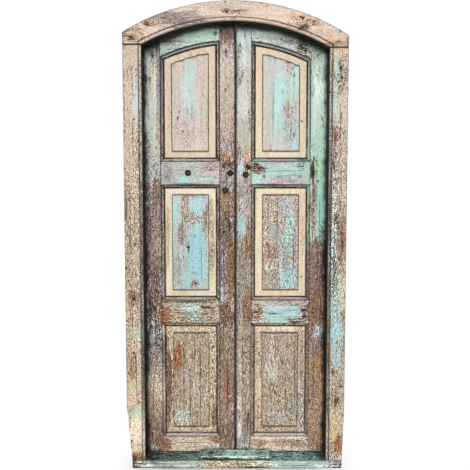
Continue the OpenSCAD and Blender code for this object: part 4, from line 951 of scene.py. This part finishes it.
# Panels of the right leaf.
# Raised panels like those of the left leaf; the lower two are made of two boards, and the seam shows.
# Cream margins again, yellower by the meeting stile; the fields run from aqua at the top to bare brown wood.
leaf_board(
    "right_top_panel", panel_upright, Z, seed=21, wear=0.5,
    regions=[region(
        "#9c9088", "#c8c6bd", 0.9, speck=0.2,
        coats=[(205, 1800, 38, 200, "#b7dcd9", 0.97), (200, 1960, 50, 30, "#c9c6c4", 0.9),
               (260, 1950, 28, 40, "#c0b3ae", 0.7), (294, 1880, 12, 90, "#bcdccd", 0.94),
               (262, 1840, 20, 90, "#bcd2ce", 0.84), (255, 1740, 30, 30, "#b5b1a8", 0.65),
               (262, 1630, 40, 70, "#b3c3be", 0.76), (165, 1700, 26, 150, "#c6c3b8", 0.9),
               (286, 1575, 16, 30, "#bfe0de", 0.95), (170, 1560, 20, 20, "#b9a79a", 0.7)],
        specks=[(255, 1650, 50, 110, 0.6), (205, 1800, 30, 150, 0.22)]
    ), region(
        "#a58f72", "#e5d3b7", 0.95, speck=0.18, where=panel_margin,
        coats=[(116, 1700, 22, 200, "#e3d8b4", 0.95), (120, 1950, 24, 80, "#e3cdac", 0.95),
               (326, 1780, 20, 160, "#e6d3ba", 0.95), (230, 2010, 110, 34, "#e2d0b4", 0.94),
               (220, 1530, 120, 16, "#ecdcc6", 0.96)],
        specks=[(326, 1690, 16, 60, 0.45)]
    )],
    cracks=[(182, 1580, 1880, 2.5, 1.5), (270, 1560, 1720, 2.5, 2)],
    dents=[(284, 1908, 5, 6, 1.5, 0.8), (322, 1690, 5, 6, 1.5, 0.7), (282, 1620, 5, 16, 1.5, 0.6),
           (230, 1830, 6, 6, 1, 0.35)])
leaf_board(
    "right_middle_panel", panel_upright, Z, seed=22, wear=0.5,
    regions=[region(
        "#ab9786", "#b9afa2", 0.6, speck=0.45,
        tones=[(170, 1290, 30, 60, "#a58a74"), (290, 1290, 24, 60, "#9c806c"),
               (170, 1050, 30, 60, "#a1877a")],
        coats=[(243, 1280, 24, 56, "#b3b9bd", 0.6), (200, 1140, 34, 50, "#aab1a8", 0.72),
               (270, 1168, 19, 64, "#a9c8c0", 0.62), (260, 1092, 24, 48, "#a5c8bc", 0.63),
               (262, 920, 44, 62, "#a4c3c5", 0.66), (240, 1004, 32, 46, "#b0bab6", 0.66),
               (300, 1080, 12, 60, "#b3a3a3", 0.6), (180, 920, 34, 46, "#a6a291", 0.6),
               (170, 968, 24, 12, "#c3cdc6", 0.7), (168, 1050, 26, 56, "#b39c8e", 0.5)],
        specks=[(170, 1180, 40, 160, 0.6), (290, 1270, 26, 60, 0.6), (280, 1000, 26, 80, 0.55)]
    ), region(
        "#a88f6e", "#e6d6b8", 0.95, speck=0.2, where=panel_margin,
        coats=[(118, 1200, 22, 140, "#e8deb6", 0.96), (118, 900, 22, 60, "#e3d0ae", 0.95),
               (116, 1035, 20, 30, "#ddd0b8", 0.9), (330, 1190, 20, 60, "#ddbf9c", 0.85),
               (332, 1080, 18, 60, "#d9c6a4", 0.85), (220, 845, 120, 14, "#e6d0b0", 0.95)],
        specks=[(330, 1050, 20, 160, 0.6), (326, 930, 12, 30, 0.5)]
    )],
    cracks=[(227, 829, 868, 2.5, 3), (286, 960, 1120, 3, 2.5), (205, 1080, 1280, 2.5, 2),
            (160, 1180, 1330, 2.5, 2)],
    dents=[(156, 1090, 6, 6, 2, 0.7), (290, 1160, 5, 12, 1.5, 0.6), (326, 926, 6, 8, 1.5, 0.6)])
leaf_board(
    "right_bottom_panel", panel_upright, Z, seed=23, wear=0.7,
    regions=[region(
        "#a08d7c", "#ae9f8d", 0.62, speck=0.45,
        tones=[(240, 600, 50, 50, "#a08473"), (182, 370, 34, 34, "#9c8468"), (280, 280, 20, 30, "#7d8a7c")],
        coats=[(184, 455, 26, 40, "#bcbcb0", 0.66), (200, 500, 40, 26, "#b9b3a6", 0.6),
               (186, 372, 34, 30, "#b09a78", 0.45), (280, 436, 12, 14, "#bccabf", 0.62),
               (284, 268, 16, 22, "#9fb3a6", 0.56), (180, 580, 16, 70, "#bdb3ac", 0.65),
               (200, 215, 60, 30, "#b7b2a6", 0.6), (240, 330, 50, 40, "#b9ad92", 0.5)],
        specks=[(220, 400, 110, 260, 0.58)]
    ), region(
        "#8f7f70", "#c3b298", 0.7, speck=0.4, where=panel_margin,
        tones=[(332, 330, 18, 160, "#a0928a"), (220, 150, 110, 10, "#7d6552")],
        coats=[(220, 668, 120, 16, "#e8dac0", 0.95), (116, 360, 18, 80, "#e0cfb0", 0.93),
               (116, 560, 20, 90, "#c3b39c", 0.65), (114, 230, 18, 60, "#c9b08e", 0.65),
               (344, 540, 9, 120, "#e0d3ae", 0.85), (328, 480, 10, 150, "#c2b3a0", 0.5),
               (332, 260, 18, 100, "#ccc1b5", 0.55), (180, 152, 40, 8, "#c9b79a", 0.6)],
        specks=[(330, 400, 24, 230, 0.5), (116, 560, 20, 90, 0.45), (200, 150, 90, 12, 0.7)]
    )],
    cracks=[(227, 640, 679, 2.5, 3), (200, 480, 640, 2.5, 2), (250, 200, 420, 2.5, 2),
            (296, 220, 560, 2.5, 2)],
    dents=[(234, 500, 7, 12, 2, 0.7), (200, 340, 9, 7, 2, 0.6), (284, 275, 6, 10, 2, 0.7),
           (118, 210, 20, 4, 2, 0.6)])

# Draught strip.
# A thin strip of black wool felt tacked along the left leaf's meeting edge, so that no light comes between.
# Its black stands in for the shade in the gap: painted shade.
# It is soft, stands a hair clear of the right leaf, and lies deep in the gap.
strip_low, strip_high = Vector((-2.6, 60, 44)) * MM, Vector((2.2, 67, 2153)) * MM
strip_cut = bmesh.new()
bmesh.ops.create_cube(strip_cut, size=1)
bmesh.ops.scale(strip_cut, vec=strip_high - strip_low, verts=strip_cut.verts)
bmesh.ops.translate(strip_cut, vec=(strip_low + strip_high) / 2, verts=strip_cut.verts)
bmesh.ops.bevel(strip_cut, geom=strip_cut.edges[:], offset=0.8 * MM, affect="EDGES", segments=3,
                profile=0.5, material=-1)
# Felted wool: matt, matted fibres with a faint dusty bloom, drawn as 2 mm tufts because a hair doesn't show.
felt, tree, surface, place = blank("black_felt_gap_shade")
tuft = add(tree, "ShaderNodeTexNoise", {"Vector": place, "Scale": 1 / (2 * MM), "Detail": 3})
# The near-black felt is painted shade for the gap between the leaves.
dust = add(tree, "ShaderNodeMix", {0: tuft, 6: (*linear("#0f0d0b"), 1), 7: (*linear("#2a241f"), 1)},
           data_type="RGBA")
raised = add(tree, "ShaderNodeBump", {"Height": tuft, "Strength": 0.6, "Distance": 0.8 * MM})
feed(tree, surface, {"Base Color": dust, "Roughness": 1, "Normal": raised})
draught_strip = finished_piece(strip_cut, "draught_strip", felt)
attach(draught_strip, "left_leaf")

# Pegs.
# Short riven pegs driven through the joints of frame and leaves and cut off flush.
# Only their end grain shows, dark on the frame and painted over on the leaves.


def peg_end(name, dark, pale):
    """Hardwood end grain under the remains of paint: blotched, dull and dusty."""
    finish, tree, surface, place = blank(name)
    # Growth rings are 1 to 2 mm apart; they are drawn as 4 mm blotches so that they show.
    rings = add(tree, "ShaderNodeTexNoise", {"Vector": place, "Scale": 1 / (4 * MM), "Detail": 3})
    tone = add(tree, "ShaderNodeMapRange", {"Value": rings, "From Min": 0.35, "From Max": 0.65})
    colour = add(tree, "ShaderNodeMix", {0: tone, 6: (*linear(dark), 1), 7: (*linear(pale), 1)},
                 data_type="RGBA")
    raised = add(tree, "ShaderNodeBump", {"Height": rings, "Strength": 0.5, "Distance": 0.6 * MM})
    feed(tree, surface, {"Base Color": colour, "Roughness": 0.85, "Normal": raised})
    return finish


def refinish(node, finish):
    """Gives a CAD solid its real material."""
    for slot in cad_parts[node].material_slots:
        slot.material = finish


frame_peg_end = peg_end("hardwood_end_grain_dark", "#4a382a", "#8a6c52")
leaf_peg_end = peg_end("hardwood_end_grain_painted", "#8a7a6c", "#b0a394")
refinish("frame_pegs", frame_peg_end)
for side in ("left", "right"):
    refinish(side + "_leaf_pegs", leaf_peg_end)

# Hinges and nails.
# Three iron butt hinges on each side, let into jamb and leaf and screwed on, each with a loose pin.
# The stop on the sill is held down by cut nails.


def iron(name, dark, scale_tone, brown, share, rough):
    """Wrought iron left outdoors: black mill scale with brown rust creeping over it, dull with a few bright
    rubs. The share is how far the rust has spread, and rough how dull the bare scale is."""
    finish, tree, surface, place = blank(name)
    # Rust pits are about 1 mm; 5 mm blooms are drawn so that they show. Hammer marks are 9 mm across.
    bloom = add(tree, "ShaderNodeTexNoise", {"Vector": place, "Scale": 1 / (5 * MM), "Detail": 5,
                                             "Roughness": 0.65})
    hammer = add(tree, "ShaderNodeTexNoise", {"Vector": place, "Scale": 1 / (9 * MM), "Detail": 2})
    facet = add(tree, "ShaderNodeMapRange", {"Value": hammer, "From Min": 0.4, "From Max": 0.6})
    metal = add(tree, "ShaderNodeMix", {0: facet, 6: (*linear(dark), 1), 7: (*linear(scale_tone), 1)},
                data_type="RGBA")
    rusted = add(tree, "ShaderNodeMapRange", {"Value": bloom, "From Min": 0.62 - share,
                                              "From Max": 0.72 - share}, interpolation_type="SMOOTHSTEP")
    colour = add(tree, "ShaderNodeMix", {0: rusted, 6: metal, 7: (*linear(brown), 1)}, data_type="RGBA")
    bright = add(tree, "ShaderNodeMapRange", {"Value": rusted, "To Min": 0.8, "To Max": 0.0})
    dull = add(tree, "ShaderNodeMapRange", {"Value": rusted, "To Min": rough, "To Max": 0.9})
    raised = add(tree, "ShaderNodeBump", {"Height": hammer, "Strength": 0.6, "Distance": 1 * MM})
    feed(tree, surface, {"Base Color": colour, "Metallic": bright, "Roughness": dull, "Normal": raised})
    return finish


hinge_iron = iron("wrought_iron_rusted", "#2e2a27", "#4a4540", "#6e452c", 0.12, 0.5)
for side in ("left", "right"):
    for word in ("jamb_hinge_plates", "hinge_pins", "jamb_hinge_screws", "leaf_hinge_plates",
                 "leaf_hinge_screws"):
        refinish(f"{side}_{word}", hinge_iron)
refinish("sill_stop_nails", hinge_iron)

# Studs.
# Domed heads of forged iron bolts, driven through the lock rail and the meeting stiles.
# They are black from old paint and handling, with brown rust in the hammer marks.
stud_iron = iron("forged_iron_blackened", "#0e0d0c", "#45423d", "#3a2a20", 0.0, 0.42)
for side in ("left", "right"):
    refinish(side + "_studs", stud_iron)

# Studio.
# A pale floor that keeps the door's shadow and runs out to white, one soft lamp from the front, 20 degrees
# above level, and a plain white surround that the camera and any gloss see at full strength.


def seen_rays(tree):
    """1 for rays from the camera, off gloss or through glass, which see the background white, or else 0."""
    rays = add(tree, "ShaderNodeLightPath").outputs
    seen = add(tree, "ShaderNodeMath", {0: rays["Is Camera Ray"], 1: rays["Is Glossy Ray"]},
               operation="MAXIMUM")
    return add(tree, "ShaderNodeMath", {0: seen, 1: rays["Is Transmission Ray"]}, operation="MAXIMUM")


floor_half, shadow_inner, shadow_outer = 30, 0.3, 0.62
floor_cut = bmesh.new()
bmesh.ops.create_grid(floor_cut, x_segments=2, y_segments=2, size=floor_half)
# Matt white floor paint: no gloss, so that it shows only the soft shadow under the door.
floor_paint, tree, surface, place = blank("matt_white_floor_paint")
feed(tree, surface, {"Base Color": (0.93, 0.93, 0.93, 1), "Roughness": 0.9, "Specular IOR Level": 0})
white = add(tree, "ShaderNodeEmission", {"Color": (1, 1, 1, 1), "Strength": 1})
away = add(tree, "ShaderNodeVectorMath", {0: place}, operation="LENGTH")
fade = add(tree, "ShaderNodeMapRange", {"Value": away, "From Min": shadow_inner, "From Max": shadow_outer},
           interpolation_type="SMOOTHSTEP")
share = add(tree, "ShaderNodeMath", {0: seen_rays(tree), 1: fade}, operation="MULTIPLY")
mixed = add(tree, "ShaderNodeMixShader", {0: share, 1: surface, 2: white})
feed(tree, tree.nodes["Material Output"], {"Surface": mixed})
finished_piece(floor_cut, "studio_floor", floor_paint)

# How strongly the surround lights the door
ambient = 0.57
world = bpy.data.worlds.new("white_surround")
bpy.context.scene.world = world
world.use_nodes = True
tree = world.node_tree
strength = add(tree, "ShaderNodeMapRange", {"Value": seen_rays(tree), "To Min": ambient, "To Max": 1})
feed(tree, tree.nodes["Background"], {"Color": (1, 1, 1, 1), "Strength": strength})

lamp = bpy.data.objects.new("soft_lamp", bpy.data.lights.new("soft_lamp", "SUN"))
lamp.data.energy = 1.62
lamp.data.angle = math.radians(28)
lamp.rotation_euler = (math.radians(70), 0, math.radians(-3))
bpy.context.scene.collection.objects.link(lamp)

# The camera stands 3.4 m in front and 1.4 m up, and looks down a little. Its focal length is in pixels of
# the photograph, which is 470 pixels wide.
photo_px, focal_px, tilt = 470, 705.5, 4.785
camera = bpy.data.objects.new("camera", bpy.data.cameras.new("camera"))
camera.location = (-0.0025, -3.416, 1.424)
camera.rotation_euler = (math.radians(90 - tilt), 0, 0)
camera.data.sensor_width = 36
camera.data.lens = camera.data.sensor_width * focal_px / photo_px
bpy.context.scene.collection.objects.link(camera)
bpy.context.scene.camera = camera
bpy.context.scene.view_settings.view_transform = "Standard"
